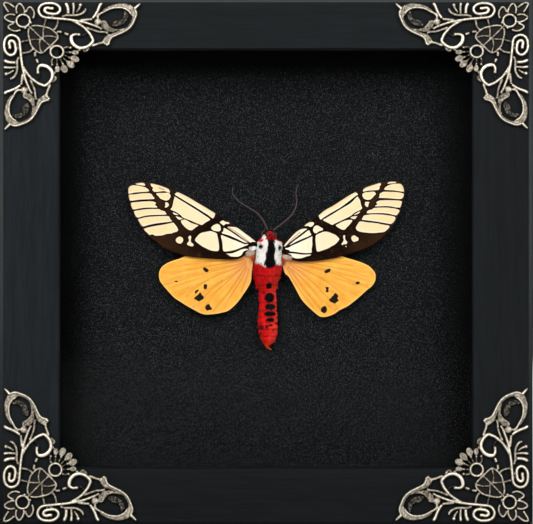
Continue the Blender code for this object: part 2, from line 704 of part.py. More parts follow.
def build():
    """Make every piece of the framed specimen."""
    clear_scene()
    black_wood = material("black_stained_wood", (0.022, 0.024, 0.027), 0.5)
    glazing = material("clear_glass", (0.9, 0.93, 0.92), 0.04, alpha=0.1)
    black_card = material("black_card", (0.012, 0.012, 0.013), 0.9)
    board = material("brown_hardboard", (0.16, 0.095, 0.05), 0.75)
    pewter = material("antique_pewter", (0.58, 0.54, 0.44), 0.35, metallic=1.0)
    steel = material("zinc_plated_steel", (0.55, 0.55, 0.53), 0.35, metallic=1.0)
    scarlet = material("scarlet_fur", (0.62, 0.03, 0.02), 0.8)
    cream = material("cream_wing", (0.86, 0.72, 0.46), 0.65)
    amber = material("amber_wing", (0.9, 0.46, 0.09), 0.65)
    brown = material("antenna_brown", (0.1, 0.06, 0.05), 0.6)

    for name, corners in MEMBERS.items():
        frame_member(name, corners, black_wood)
    sheet("glass_pane", GLASS_FRONT, GLASS_THICKNESS, glazing)
    spacers(black_card)
    sheet("backing_mat", MAT_FRONT, MAT_THICKNESS, black_card)
    sheet("back_panel", PANEL_FRONT, FRAME_DEPTH - PANEL_FRONT, board)
    turn_buttons(steel)
    sawtooth_hanger(steel)
    for corner in CORNERS:
        corner_ornament(corner, pewter)
    moth_body(scarlet)
    for name in ANTENNAE:
        antenna(name, brown)
    for name in WINGS:
        wing(name, cream if name.startswith("forewing") else amber)


build()
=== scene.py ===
"""Looks of a framed moth specimen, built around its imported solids.

A cream, brown and amber tiger moth lies on a black pebbled mat behind glass, in a black
stained box frame with a cast ornament on each corner. Lengths are in millimetres unless a
name says otherwise. Places that were read off the front view are in its pixels.
"""

import logging
import math
from dataclasses import dataclass
from enum import Enum
from typing import Any, Iterable, Sequence

import bpy
import numpy as np
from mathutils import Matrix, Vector
from mathutils.geometry import delaunay_2d_cdt


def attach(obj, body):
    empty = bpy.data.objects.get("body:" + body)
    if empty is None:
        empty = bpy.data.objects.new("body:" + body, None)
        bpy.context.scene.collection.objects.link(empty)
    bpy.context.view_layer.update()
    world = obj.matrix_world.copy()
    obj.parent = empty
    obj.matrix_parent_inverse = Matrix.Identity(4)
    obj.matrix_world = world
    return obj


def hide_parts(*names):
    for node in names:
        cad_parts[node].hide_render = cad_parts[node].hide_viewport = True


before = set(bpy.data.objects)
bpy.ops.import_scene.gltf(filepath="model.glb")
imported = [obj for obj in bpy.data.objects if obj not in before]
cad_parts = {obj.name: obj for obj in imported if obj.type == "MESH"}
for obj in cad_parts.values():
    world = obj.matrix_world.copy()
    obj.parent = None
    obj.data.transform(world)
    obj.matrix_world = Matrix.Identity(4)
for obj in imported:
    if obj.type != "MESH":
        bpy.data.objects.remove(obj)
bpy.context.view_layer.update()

MM = 0.001
BODY = "root"
LOG = logging.getLogger("specimen")

Point = tuple[float, float]
Colour = tuple[float, float, float]


# Places read off the front view


LEFT_FOREWING = [
    (129, 186), (131.5, 184.3), (135.5, 183), (141.5, 182.4), (147, 182.6), (152, 183.2), (158, 184.8),
    (164.5, 187), (172.5, 190), (180, 193), (190, 198.2), (200, 204), (210, 210.2), (218, 215),
    (226, 219.8), (234, 225.5), (241, 230.3), (248, 235.5), (254, 240.3), (257, 243.4), (256.5, 249),
    (250, 251), (246, 254), (241.5, 257.5), (236, 259.3), (230, 259.6), (222, 259.3), (212, 258.8),
    (200, 257.8), (188, 256.3), (181, 254.6), (174, 252.2), (168, 249.8), (162, 246.5), (157, 242),
    (152, 238.5), (147, 233.5), (143.5, 229), (139, 222), (135, 215), (132, 208), (130, 202),
    (128.6, 195), (128.3, 190),
]
RIGHT_FOREWING = [
    (281.5, 247), (283.5, 245.5), (286, 242), (290, 238), (295, 233), (300, 229), (304, 226),
    (308, 222.8), (316, 217.5), (325, 210.3), (333, 205.8), (342, 200), (350, 195), (356, 191.8),
    (364, 187.3), (370, 185), (378, 183), (384, 181.8), (390, 181.3), (396, 181.4), (399, 182.6),
    (402, 185.2), (403.8, 189), (404, 194), (403, 199), (401.5, 205), (399.8, 211), (395.5, 220),
    (392.5, 225), (389.5, 230), (385, 235), (380, 239.5), (374, 243.6), (367, 247.8), (358, 251.3),
    (350, 253.6), (342, 256.2), (333, 258.4), (325, 259.8), (315, 261), (305, 261.6), (297, 261.2),
    (291, 259), (286, 255.5), (281.5, 252),
]
LEFT_HINDWING = [
    (186, 255.8), (180, 258.5), (172, 261), (166, 263.8), (161.5, 267.5), (159.3, 272), (159, 276),
    (160, 281), (163, 285.2), (168, 291), (174, 297.5), (180, 301.5), (187, 306), (194, 309.8),
    (200, 313), (206, 314.5), (216, 313.8), (222, 312.6), (228, 310.8), (234, 306), (239, 300.5),
    (243, 294.8), (247, 289), (250, 283.5), (251.3, 279), (251.8, 272), (252.6, 266), (253.6, 258),
    (252, 250), (225, 249), (200, 252),
]
RIGHT_HINDWING = [
    (341.5, 256), (347, 258), (354, 260), (361, 262.3), (368, 265.5), (372, 269), (375, 273),
    (375.6, 277), (374.8, 281.5), (371.5, 286.5), (367, 290), (361, 295.5), (354, 301.5), (347, 306.5),
    (340, 310), (334, 314), (328, 316.3), (323, 317), (319, 316), (314, 312), (309, 307.5),
    (304, 302.5), (300, 297), (296, 289.5), (292, 282), (288, 275.8), (285.5, 274), (283.5, 269),
    (282.3, 263), (283.6, 252.5), (312, 250), (335, 254),
]

LEFT_CELLS = [
    [(135.4, 184), (138, 183.3), (141.5, 182.8), (144.1, 183.3), (145.1, 184.5), (144.6, 185.7),
     (139, 185)],
    [(128, 189.4), (130.3, 186.3), (133.3, 185.2), (137.4, 185.5), (141.5, 186.3), (145.6, 187.4),
     (148, 189.1), (149.2, 190.7), (147.2, 191.7), (142.6, 191.9), (134.4, 192.7), (128, 193.7)],
    [(128.5, 195), (134.4, 194.3), (139, 193.6), (144.6, 193.1), (148.7, 193.1), (151, 193.7),
     (152.3, 194.8), (152.8, 196.1), (154.4, 197.6), (154.1, 198.9), (150.8, 199.2), (144.6, 199.4),
     (139.5, 199.7), (134.4, 200.4), (131, 200.7), (129.4, 199.6)],
    [(131, 203.5), (132.3, 202.5), (137.4, 201.9), (144.6, 201.4), (150.8, 201.2), (154.4, 201.9),
     (156.2, 203), (154.9, 204.8), (156.4, 205.9), (157.4, 207.1), (155.9, 207.7), (150.8, 207.6),
     (144.6, 207.8), (139.5, 208.5), (134.9, 209.4), (132.6, 209.1), (131.3, 206.8)],
    [(134.1, 211.9), (134.9, 210.8), (138.5, 210.2), (143.6, 209.4), (148.7, 209), (154.9, 208.9),
     (159, 209), (161, 210.2), (163.1, 210.8), (165.1, 211.4), (165.6, 212.7), (166.2, 214.5),
     (155.9, 214.9), (148.7, 215.3), (143.6, 216.1), (139.5, 217.3), (136.9, 217.3), (135.4, 215.8)],
    [(138.2, 219.4), (140.5, 218.4), (145.6, 217.1), (150.8, 216.6), (158.5, 216.1), (168.2, 216.1),
     (169.7, 217.8), (171, 219.9), (171.8, 221.4), (163.6, 222.5), (155.9, 223.5), (148.7, 225),
     (144.1, 226.3), (142.1, 225.8), (140.3, 223.7)],
    [(143.8, 229.4), (145.6, 228.1), (150.8, 226.7), (155.9, 225.8), (163.6, 224.5), (169.7, 223.2),
     (173.3, 222.6), (175.1, 224.5), (176.9, 226.8), (178.2, 229.6), (177.4, 231.4), (174.4, 232.4),
     (171.3, 233.5), (166.2, 234.1), (162.1, 235.3), (155.9, 235.8), (152.3, 234.3), (150, 235),
     (147.7, 233.2)],
    [(150.5, 184), (151.8, 183.7), (155.9, 184.5), (161, 185.8), (166.2, 187.9), (168.7, 189.4),
     (170, 191.7), (169.5, 192.7), (164.6, 191.2), (160.5, 191.5), (156.9, 191.9), (154.1, 191.7),
     (152.3, 189.6), (153.1, 187.6), (151.5, 186.6)],
    [(156.2, 194), (157.9, 193), (163.6, 192.9), (167.7, 192.7), (169.7, 193.7), (170.7, 196.1),
     (169.7, 198.6), (167.9, 200.2), (165.6, 200.6), (162.6, 199.6), (160, 198.4), (158.7, 196.6)],
    [(165.1, 202.5), (166.7, 202.2), (168.2, 203), (169, 204.8), (168.2, 206.3), (165.9, 207.7),
     (164.6, 206.8), (165.4, 205.5)],
    [(174.9, 194.5), (176.4, 192.7), (178.5, 192.4), (186.7, 196.1), (193.1, 200), (200.8, 204.6),
     (208.5, 209), (213.6, 212.1), (215.2, 213.6), (213.1, 218.5), (208, 215), (200, 210), (192, 205),
     (186, 201.5), (180, 197.7)],
    [(175.1, 196.6), (184, 202), (193, 207.5), (202, 213.5), (210.1, 219.2), (207.5, 221.3),
     (204.4, 223.3), (201.6, 225.1), (198.3, 224.1), (194.7, 222.8), (191.1, 220.8), (188, 219.7),
     (183.6, 218.1), (180.5, 215), (176.9, 212.5), (171.8, 210.2), (170.5, 209.4), (171.8, 207.6),
     (172.6, 205.3), (173.6, 200.2), (174.4, 197.8)],
    [(172.6, 212.7), (174.4, 212.7), (178.5, 214.8), (176.4, 215), (173.8, 214.3)],
    [(175.6, 216.3), (177.9, 216.6), (182.8, 218.6), (181, 219.4), (178.5, 219.6)],
    [(180.8, 221.4), (182.6, 219.9), (185.6, 219.6), (191.1, 222.8), (198.3, 225.4), (196.7, 226.7),
     (194.7, 228.2), (192.9, 229.7), (191.1, 230.3), (188.2, 229.6), (183.6, 225.8)],
    [(175.9, 239.4), (177.6, 237.2), (180.6, 236.6), (183, 238.4), (183, 241.2), (180.8, 243.6),
     (177.6, 243), (176, 241.2)],
    [(188.7, 236.3), (190.5, 235.5), (191.3, 237.1), (190.8, 240.2), (191.5, 242.5), (193.6, 244.3),
     (193.1, 246.1), (191.3, 246.3), (188.2, 245.3), (186.9, 243.7), (188.2, 241.9), (189, 240.2),
     (188.2, 237.6)],
    [(195.2, 240.8), (195.7, 238.2), (198.3, 235.1), (201.3, 232.8), (205.9, 231.8), (210.1, 231),
     (213.1, 231.6), (216.7, 233.3), (217.5, 236.2), (218.3, 239.7), (219, 244.9), (219, 249.5),
     (217.7, 251), (213.6, 251), (209.5, 250), (202.4, 246.4), (198.8, 243.8)],
    [(211.1, 228.2), (212.6, 225.9), (215.2, 224.4), (217.2, 223.8), (219.8, 225.1), (220.8, 227.9),
     (220.6, 230.5), (218.3, 231.4), (215.7, 231.1), (213.1, 230.3)],
    [(219.8, 222.3), (222.9, 220.3), (224.9, 221.5), (229, 222.6), (229, 224.1), (227, 223.8),
     (224.9, 224.4), (223.9, 225.6), (221.8, 224.1)],
    [(227, 227.2), (229.5, 226.7), (234.2, 227), (237.2, 227.7), (239.3, 228.7), (245.4, 233.6),
     (249.5, 236.4), (256.2, 241.5), (252.1, 242.1), (250.6, 242.8), (247, 241.3), (241.8, 237.7),
     (236.7, 233.8), (232.1, 230.8)],
    [(224.2, 227.9), (231.6, 232.1), (236.7, 235.6), (241.8, 239), (247.5, 242.8), (243.9, 242.3),
     (239.3, 240), (234.2, 237.7), (229, 235.4), (221.8, 233.1), (223.4, 231)],
    [(220.8, 235.6), (223.9, 235.4), (229, 237.4), (234.2, 239.7), (239.3, 241.8), (244.4, 244.1),
     (248.3, 243.8), (247.5, 245.1), (241.8, 247.4), (236.7, 249.5), (232.6, 250.8), (228.5, 251.5),
     (223.4, 251), (222.6, 245.4), (222.1, 241.3)],
    [(226.2, 253.6), (231.6, 253.3), (236.7, 251.5), (241.3, 249.5), (245.4, 248.7), (249, 249.5),
     (243.9, 251.3), (242.4, 253.6), (241.3, 255.1), (237.7, 256.7), (230.6, 256.4), (228.5, 254.9)],
]
# width, then points along the stroke, for veins and folds
LEFT_VEINS = [
    (1.3, [(175.4, 196.1), (194, 207.6), (212, 218.8)]),
    (1.2, [(221.3, 234.1), (233, 239), (245.9, 243.8)]),
]
LEFT_TAN_VEINS = [
    (1.1, [(183.6, 218.4), (190.6, 221.2), (200.6, 225.2)]),
    (0.9, [(159, 187.9), (164.1, 189.9)]),
    (0.8, [(226.4, 226.4), (238, 233.4), (249.6, 242.6)]),
    (0.8, [(226, 251.8), (236, 250), (246, 246)]),
]

RIGHT_CELLS = [
    [(387.3, 183.7), (388.9, 182.2), (391.9, 181.7), (395.5, 181.9), (396.3, 182.8), (393, 183.2)],
    [(384, 189.1), (385.3, 187.3), (387.3, 185.8), (390.4, 184.5), (394.5, 183.7), (400.2, 183.8),
     (402.4, 185), (404, 187.3), (405, 190.4), (403.6, 191.7), (399.1, 191.2), (394.5, 190.5),
     (389.4, 190.2), (385.3, 189.9)],
    [(379.4, 194), (381.7, 192.5), (383.7, 191.7), (389.4, 191.7), (395.5, 191.9), (400.2, 192.6),
     (404, 193.7), (404, 195.5), (402.6, 197.8), (400.7, 199), (395.5, 198.9), (390.4, 198.4),
     (385.3, 198), (378.9, 197.8), (379.6, 196.1)],
    [(376.1, 202.7), (377.6, 201.2), (380.2, 200.4), (385.3, 200.1), (391.4, 200.1), (397.1, 200.4),
     (400.7, 200.9), (401.9, 202.2), (401.2, 204.8), (400.4, 206.8), (399.6, 207.6), (395.5, 207.3),
     (390.4, 206.4), (385.3, 206.1), (380.2, 206.3), (374.8, 206.3), (376.6, 204.8), (377.3, 203.7)],
    [(366.8, 213.2), (367.6, 210.9), (369.4, 209.9), (371.9, 209.4), (373.7, 208.1), (377.6, 207.6),
     (385.3, 207.4), (390.4, 207.8), (395.5, 208.6), (399.4, 210.2), (398.9, 212.2), (397.6, 214),
     (396.3, 215.3), (393, 214.8), (387.8, 213.6), (380.2, 213.1), (372.5, 213.2)],
    [(361.9, 219.6), (362.7, 217.6), (364, 215.5), (367.3, 214.8), (372.5, 214.3), (379.1, 214.3),
     (385.3, 214.8), (390.4, 215.6), (394.5, 216.6), (395.5, 218.1), (394.8, 220.2), (393, 222.5),
     (390.9, 224), (387.8, 223.6), (382.7, 222.7), (377.6, 221.8), (372.5, 221.1), (367.3, 220.4)],
    [(355.8, 228.4), (356.6, 225.8), (358.1, 223.5), (359.9, 221.4), (367.3, 222.2), (372.5, 222.7),
     (377.6, 223.3), (382.7, 224.5), (387.8, 225.3), (389.6, 226.3), (388.4, 228.4), (386.3, 230.4),
     (384.3, 231.9), (380.2, 232.5), (375, 233), (369.9, 233), (364.8, 232.5), (360.7, 231.9),
     (357.6, 230.7)],
    [(363, 191.7), (363.5, 189.4), (365.8, 187.7), (369.9, 186.1), (375, 184.5), (379.1, 183.2),
     (380.9, 183.5), (380.7, 185.3), (379.6, 186.1), (379.6, 188.4), (378.1, 189.9), (374, 190.3),
     (369.9, 190.5), (366.8, 190.9)],
    [(362.2, 194.5), (363.2, 193.2), (365.8, 192.2), (369.9, 191.8), (374.5, 191.7), (375.8, 194.3),
     (374.3, 195.5), (372.7, 197.6), (370.4, 199.4), (367.8, 199.9), (365.3, 199.4), (363.2, 197.8)],
    [(365, 201.9), (369.4, 201.9), (368.6, 203.7), (368.3, 206.3), (367.3, 207.1), (365.8, 206.1),
     (364.5, 204.3), (365.3, 203)],
    [(358.1, 194.8), (357.3, 193.5), (356.1, 192.7), (354.5, 192.4), (348.4, 195.8), (343.2, 198.1),
     (338.1, 200.9), (327.8, 207.4), (322.7, 210.8), (319.1, 213.6), (318.6, 214.6), (319.1, 217.2),
     (320.2, 219.2), (321.4, 219.5), (322.7, 218.2), (330.4, 213.3), (340.7, 207.4), (350.9, 201),
     (356.1, 196.1)],
    [(323.2, 219.7), (330.4, 214.9), (340.7, 209), (350.9, 202.8), (357.1, 196.6), (358.6, 198.1),
     (360.2, 200.2), (360.7, 203.2), (361.4, 205.8), (362.2, 207.8), (361.2, 209.4), (358.6, 210.7),
     (355.5, 212.2), (353, 214), (350.9, 215.8), (347.8, 217.6), (344.3, 219.1), (339.1, 221.7),
     (333, 224.9), (330.4, 224.1), (327.8, 222.8), (325.3, 221.5)],
    [(353.7, 215), (356.1, 213.2), (358.6, 211.7), (360.4, 211.7), (358.6, 213.5), (356.1, 214.5)],
    [(350.4, 217.6), (353.5, 216.3), (357.3, 216.1), (356.1, 217.6), (355, 219.1), (352.5, 218.9)],
    [(335.8, 225.4), (338.1, 223.8), (341.7, 221.8), (345.8, 220.3), (349.9, 219.7), (352.5, 220.3),
     (351.4, 222.3), (349.4, 224.9), (346.8, 227.4), (344.8, 229.5), (342.2, 229.7), (339.1, 228.2)],
    [(351.2, 237.6), (352.5, 235.8), (354.5, 235.3), (356.6, 236.6), (358.6, 238.1), (358.1, 240.7),
     (356.1, 241.2), (353.7, 241.9), (351.9, 240.2)],
    [(343.2, 235.8), (344.5, 235), (345.3, 236.3), (345, 238.6), (346.3, 240.7), (347.4, 242.2),
     (346.3, 244), (343.7, 244.3), (342.2, 245.3), (341.4, 243.7), (343, 241.7), (343.7, 239.6),
     (343.1, 237.6)],
    [(345.2, 246.4), (346, 245.6), (346.8, 246.4), (346, 247.2)],
    [(315.8, 235.6), (317.6, 234.1), (321.2, 232.6), (323.7, 231.6), (327.8, 231.8), (331.4, 233.1),
     (335.5, 234.9), (338.1, 237.2), (339.4, 239.2), (337.6, 241.8), (335, 244.4), (331.4, 246.4),
     (327.8, 248.5), (323.7, 250), (319.1, 251.5), (317.1, 251.3), (316.3, 249), (315.8, 244.4),
     (315.4, 240.3)],
    [(313, 230.5), (313.7, 227.4), (315.5, 225.6), (318.1, 225.6), (320.7, 227.2), (323, 228.7),
     (322.5, 230.3), (319.1, 231.3), (316.6, 233.1), (314.5, 232.8)],
    [(304.3, 225.4), (306.8, 223.6), (309.9, 222.1), (313.5, 222.3), (314, 224.1), (311.9, 226.4),
     (309.9, 226.9), (308.4, 225.9), (305.8, 226.2)],
    [(284.3, 246.4), (285, 244.4), (287.6, 241.3), (290.9, 237.4), (294.5, 233.6), (297.6, 231),
     (301.2, 229.2), (304.8, 228.5), (307.1, 229), (304.8, 231), (299.6, 234.9), (294.5, 238.7),
     (289.4, 242.8), (287.3, 245.1)],
    [(309.4, 230.3), (310.2, 232.6), (311.4, 234.6), (309.9, 235.6), (304.8, 238.2), (299.6, 240.3),
     (294.5, 242.8), (289.4, 245.1), (291.9, 242.3), (297.1, 238.7), (302.7, 234.6), (307.3, 231)],
    [(312.5, 236.4), (309.9, 237.4), (304.8, 239.7), (297.1, 243.3), (291.9, 245.6), (287.8, 247.9),
     (285, 247.9), (286.3, 249.5), (288.9, 250), (289.9, 251.3), (294.5, 251.8), (299.6, 252.6),
     (304.8, 253.1), (309.9, 253), (311.7, 252.3), (311.7, 249), (312.5, 244.4), (312.2, 240.3)],
    [(287.8, 253.6), (290.9, 253.3), (295.5, 253.6), (300.7, 254.4), (305.8, 254.5), (310.9, 254.4),
     (309.9, 255.6), (305.8, 256.7), (301.7, 258.2), (296.6, 258.5), (293.5, 257.7), (291.7, 256.4),
     (290.9, 254.6)],
]
RIGHT_VEINS = [
    (1.3, [(357.3, 195.6), (340.6, 208.2), (322.2, 219.5)]),
    (1.2, [(334, 224.7), (342.6, 220.6), (351, 216.6)]),
    (1.3, [(307.6, 229.5), (297, 237.6), (287.8, 245.4)]),
    (1.2, [(312.2, 235.6), (299, 241), (286.8, 247.4)]),
]
RIGHT_TAN_VEINS = [(0.8, [(286, 246), (292, 239.4), (300, 232.4)])]

LEFT_SPOTS = [
    [(202.6, 269.1), (204.5, 267.2), (207, 268.6), (208.8, 270.3), (207.7, 271.9), (205.9, 272.2),
     (204.2, 270.7)],
    [(174.3, 281.2), (175.4, 280.6), (177.6, 280.9), (178, 281.8), (176.8, 282.3), (175, 282)],
    [(203.7, 284.6), (205.8, 284.2), (207.2, 285), (207, 288.2), (205.6, 289.4), (203.8, 288.6)],
    [(200.3, 292.2), (201.4, 294), (203.8, 296.8), (203.5, 299.2), (200.7, 300.3), (198.5, 301.7),
     (197.1, 300.3), (194.3, 298.9), (194.7, 297.1), (197.1, 295.4)],
    [(195, 291.5), (197.1, 289.7), (198.9, 290.1), (197.1, 292.5), (195.4, 294)],
    [(207.4, 304.2), (209.5, 304.5), (210.5, 306.6), (211.9, 308.1), (211.6, 309.8), (209.1, 310.2),
     (207, 310.5), (205.2, 308.8), (205.6, 305.9)],
]
RIGHT_SPOTS = [
    [(324.2, 271.9), (325.6, 269.9), (328.6, 268.6), (330.8, 269.4), (330, 271.6), (327.2, 273.2),
     (325.2, 273.2)],
    [(355.4, 283.2), (356.8, 281.6), (359.2, 281.6), (359.9, 282.8), (358.6, 284.2), (356.4, 284.4)],
    [(325.5, 287.4), (327.2, 286.8), (328.9, 287.6), (328.2, 289.6), (329, 291.6), (327.2, 292.4),
     (325.4, 291.4), (326.2, 289.6)],
    [(334.9, 293.1), (336.9, 293.8), (338.3, 295.9), (337.6, 298.3), (338.9, 300.4), (336.9, 302.1),
     (334.9, 303.6), (332.8, 302.8), (330, 301.7), (329, 300), (330.7, 297.9), (333.1, 295.5)],
    [(324.5, 306.1), (326.2, 306.6), (326.9, 309.7), (325.9, 312.8), (323.1, 313), (320.7, 311.1),
     (321, 308.7), (322.4, 306.9)],
]
# place and radius
LEFT_SPECKS = [
    (193.4, 306.6, 1.1), (198.3, 306.2, 0.8), (188, 288, 1.0), (221.5, 281, 1.1), (207.6, 280.3, 0.7),
]
RIGHT_SPECKS = [(326, 275, 0.7), (353.4, 284.5, 0.8), (335.8, 309.3, 1.1), (338.6, 310.4, 0.9)]
LEFT_FOLDS = [
    (1.2, [(246, 266.5), (240, 276), (230, 291), (221, 302), (213, 311.5)]),
    (0.9, [(247, 268), (243, 277), (236, 288), (229, 300), (224, 309)]),
    (0.8, [(248.6, 269), (246, 280), (241, 292)]),
    (1.0, [(246, 264), (238, 271), (228, 278), (216, 286), (206, 295), (198, 305)]),
    (0.9, [(246, 263), (234, 269), (222, 273.6), (208, 280), (196, 288), (186, 297)]),
    (0.9, [(246, 262), (230, 266.6), (212, 271.6), (196, 276), (178, 281.2), (164, 285)]),
    (0.8, [(246, 261), (228, 263), (208, 266.4), (190, 270), (170, 275)]),
    (0.7, [(244, 260), (224, 261), (204, 262.6), (184, 265.4)]),
    (0.6, [(240, 270), (226, 283), (212, 297), (205, 308)]),
]
RIGHT_FOLDS = [
    (1.2, [(288, 266), (296, 278), (304, 290), (313, 301), (322, 312)]),
    (0.9, [(287, 268), (292, 278), (299, 289), (306, 299), (312, 307)]),
    (1.0, [(289, 264), (300, 272), (311, 281), (321, 291), (331, 302), (338, 309)]),
    (0.9, [(289, 263), (303, 269), (318, 277), (332, 286), (344, 296)]),
    (0.9, [(290, 262), (306, 266), (324, 271), (342, 277), (356, 283), (368, 288)]),
    (0.8, [(290, 261), (308, 263), (328, 266.4), (348, 271), (366, 277)]),
    (0.7, [(292, 260), (312, 260.6), (332, 262.4), (352, 266)]),
    (0.6, [(292, 269), (302, 279), (313, 291), (322, 302)]),
]

# pixel down the view, left and right edge, and low and high surface above the mat
BODY_STATIONS = [
    (231.2, 268.2, 271.4, 3.0, 4.4), (233.5, 265.5, 273.8, 2.2, 5.6), (236.5, 261.5, 276.6, 1.6, 6.4),
    (240, 259.2, 278.4, 1.2, 6.7), (243, 257.6, 280.6, 0.6, 7.2), (248, 256.6, 282, 0.3, 7.7),
    (256, 256, 281.2, 0.3, 7.8), (264, 254.8, 281.2, 0.3, 7.6), (271, 253.6, 280.6, 0.3, 7.2),
    (279, 254.8, 278.2, 0.3, 6.8), (286, 256.8, 276.6, 0.3, 6.4), (292, 258, 276.8, 0.3, 6.0),
    (301, 258.4, 277, 0.3, 5.8), (311, 258.2, 277.4, 0.3, 5.9), (321, 257.2, 278.2, 0.3, 6.0),
    (330, 258, 278.2, 0.3, 5.6), (338, 259.6, 276.8, 0.5, 5.0), (342.5, 262.0, 273.8, 0.9, 4.2),
    (345.5, 264.6, 269.6, 1.2, 3.7), (347.6, 266.2, 269.8, 1.4, 3.5), (349.8, 268.8, 272.6, 1.7, 3.2),
]
# places in the front view, and height above the mat
LEGS = {
    "fore_left": [(266.5, 241, 2.6), (263.2, 237, 2.6), (261.8, 233.2, 2.6), (264.6, 230.4, 2.8)],
    "fore_right": [(273.5, 241, 2.6), (275.5, 238, 1.6), (275.8, 234.5, 0.9), (273.5, 231.5, 0.7)],
    "middle_left": [(262, 254, 1.9), (251, 256, 1.3), (243, 265, 1.0), (238, 277, 0.9)],
    "middle_right": [(276, 254, 1.9), (288, 258, 1.3), (296, 267, 1.0), (300, 279, 0.9)],
    "hind_left": [(263, 266, 1.7), (253, 266, 1.1), (244, 274, 0.9), (238, 286, 0.8)],
    "hind_right": [(275, 266, 1.7), (284.5, 265, 1.1), (293, 273, 0.9), (299, 285, 0.8)],
}
ANTENNAE = {
    "antenna_left": [(267.4, 229.4), (262.2, 219), (256, 212.2), (247, 206.6), (238.5, 201),
                     (233.4, 195.2), (232.2, 191), (233.2, 187)],
    "antenna_right": [(273.4, 230), (282, 223.6), (290.2, 216.4), (295.2, 208.6), (296.8, 200.6),
                      (296.0, 194.0), (296.8, 188), (299, 184.4)],
}
WHITE_LEFT = [
    (264, 234.8), (262.2, 237.8), (260.6, 240.6), (257.2, 242.6), (256, 247), (255.6, 252.8),
    (255, 258.5), (255, 261.6), (257, 263.5), (260.5, 263.5), (264, 266), (266.5, 266.6), (264.2, 263.2),
    (266.2, 258.2), (265.6, 254.3), (266.9, 251.2), (267.5, 247), (268.3, 243.5), (267.7, 240.5),
    (265.2, 239.6), (266.2, 237),
]
WHITE_RIGHT = [
    (274.6, 240.8), (278, 241.4), (281.4, 243.5), (283.4, 246), (282.9, 252), (282, 257), (281.2, 263),
    (279, 264.5), (274.8, 264), (273.8, 258), (274.0, 250), (273.6, 245),
]
BLACK_STRIPE = [
    (268, 240.4), (274.3, 240.4), (274.2, 245.1), (275.2, 249.7), (274.2, 256.6), (275.4, 263.5),
    (273.6, 266.6), (270.8, 267.8), (267.5, 267), (264.2, 263.2), (266.2, 258.2), (265.6, 254.3),
    (266.9, 251.2), (267.5, 247), (268.3, 243.5),
]
# middle across and down, reach across and down
BLACK_SPOTS = [
    (261.3, 246.6, 2.2, 2.3), (279.1, 247.8, 1.7, 2.3), (271.5, 238.4, 0.9, 1.0), (267.5, 234.8, 2.1, 0.6),
    (268.7, 285.6, 2.7, 3.5), (269.4, 297.8, 4.9, 4.9), (270.0, 306.9, 5.0, 3.5), (269.8, 314, 5.9, 2.8),
    (270.2, 320, 4.5, 2.0), (266.5, 326.6, 1.6, 1.4), (270.7, 325.2, 2.3, 1.0), (276.5, 323.5, 1.5, 1.5),
    (272.6, 330.6, 1.0, 1.0), (260.8, 333.8, 0.8, 1.5), (264.3, 293, 1.8, 0.7),
]

# Corner ornament, in the drawing units of one corner: along the rail, then down the stile
# middle, radius and width
RINGS = [((20.0, 20.0), 6.5, 2.2), ((53.0, 52.7), 6.3, 2.3)]
PETALS_HALF = [
    [(14, 12.5), (13.2, 8), (14, 4.5), (16.5, 2), (19, 4), (21, 8), (21.5, 11.5)],
    [(23, 11), (24, 8), (26.5, 5.5), (29, 7.5), (30.8, 12), (30.5, 15), (29.5, 17.5)],
]
PETAL_MIDDLE = [(6, 11), (2.8, 6), (1.2, 2), (1.6, 1.2), (4, 1), (8, 3), (11.5, 6)]
HEART_OUTLINE = [
    (28, 25.5), (33, 25), (40, 26.3), (46, 28), (50, 31), (53, 34.5), (54, 37.5), (52, 41), (49, 44),
    (46.5, 46.5),
]
# how far a filled plate stands off the face, and its outline
LEAF_PLATES = [
    (1.32, [(93.5, 15), (98, 9), (104, 5), (110, 3), (117, 2), (124, 3.5), (128.5, 6.5), (130.8, 10.5),
            (127.5, 14.5), (125.5, 13), (124, 10.5), (121, 8), (117, 6), (112, 6), (106, 7), (100, 10)]),
    (1.32, [(125.5, 13), (131, 11), (129, 18), (125, 26), (119, 31), (112, 34.5), (106, 38), (104.5, 42),
            (104.5, 44), (102, 46.5), (98, 41), (100, 38), (103, 35), (108, 33.5), (114, 31), (120, 28),
            (124, 24), (126, 20), (127, 16)]),
    (1.22, [(99.5, 20.5), (102, 24), (106, 28), (110, 29.5), (113, 30.3), (108, 31.3), (103, 30.5),
           (99, 28), (97, 24)]),
    (1.05, [(119, 9.5), (122, 12), (123, 15), (121, 20), (117, 24), (112, 26), (108, 26), (106, 24.5),
            (108, 21), (112, 19), (116, 18.5), (118, 15)]),
]
# middle, long and short radius, and turn in degrees of the lobes beyond the second ring
LOBES_HALF = [((70.6, 60.2), 3.7, 2.5, 24.0), ((70.8, 53.4), 2.7, 1.6, 5.0)]
LOBE_MIDDLE = ((66.4, 66.0), 3.7, 2.4, 45.0)
# place, radius, and height of the crest as a share of the full height
KNOBS_HALF = [
    (93, 21, 3.9, 0.8), (48.8, 7, 2.0, 1.0), (76, 3.4, 2.2, 0.95), (74.6, 34.5, 2.0, 0.9),
    (75, 50.5, 1.8, 0.85), (66.2, 48.4, 1.6, 0.85), (65.8, 53.2, 1.4, 0.8), (65.3, 58.7, 1.5, 0.8),
    (27.5, 22, 1.8, 1.0), (81, 8, 1.4, 0.9), (62, 2.2, 1.9, 0.95), (69, 2, 1.6, 0.95),
    (96.3, 2.2, 1.8, 1.0), (102, 45, 2.0, 1.0), (134, 2.2, 1.2, 0.9),
]
KNOBS_MIDDLE = [(63, 62.8, 1.4, 0.8)]
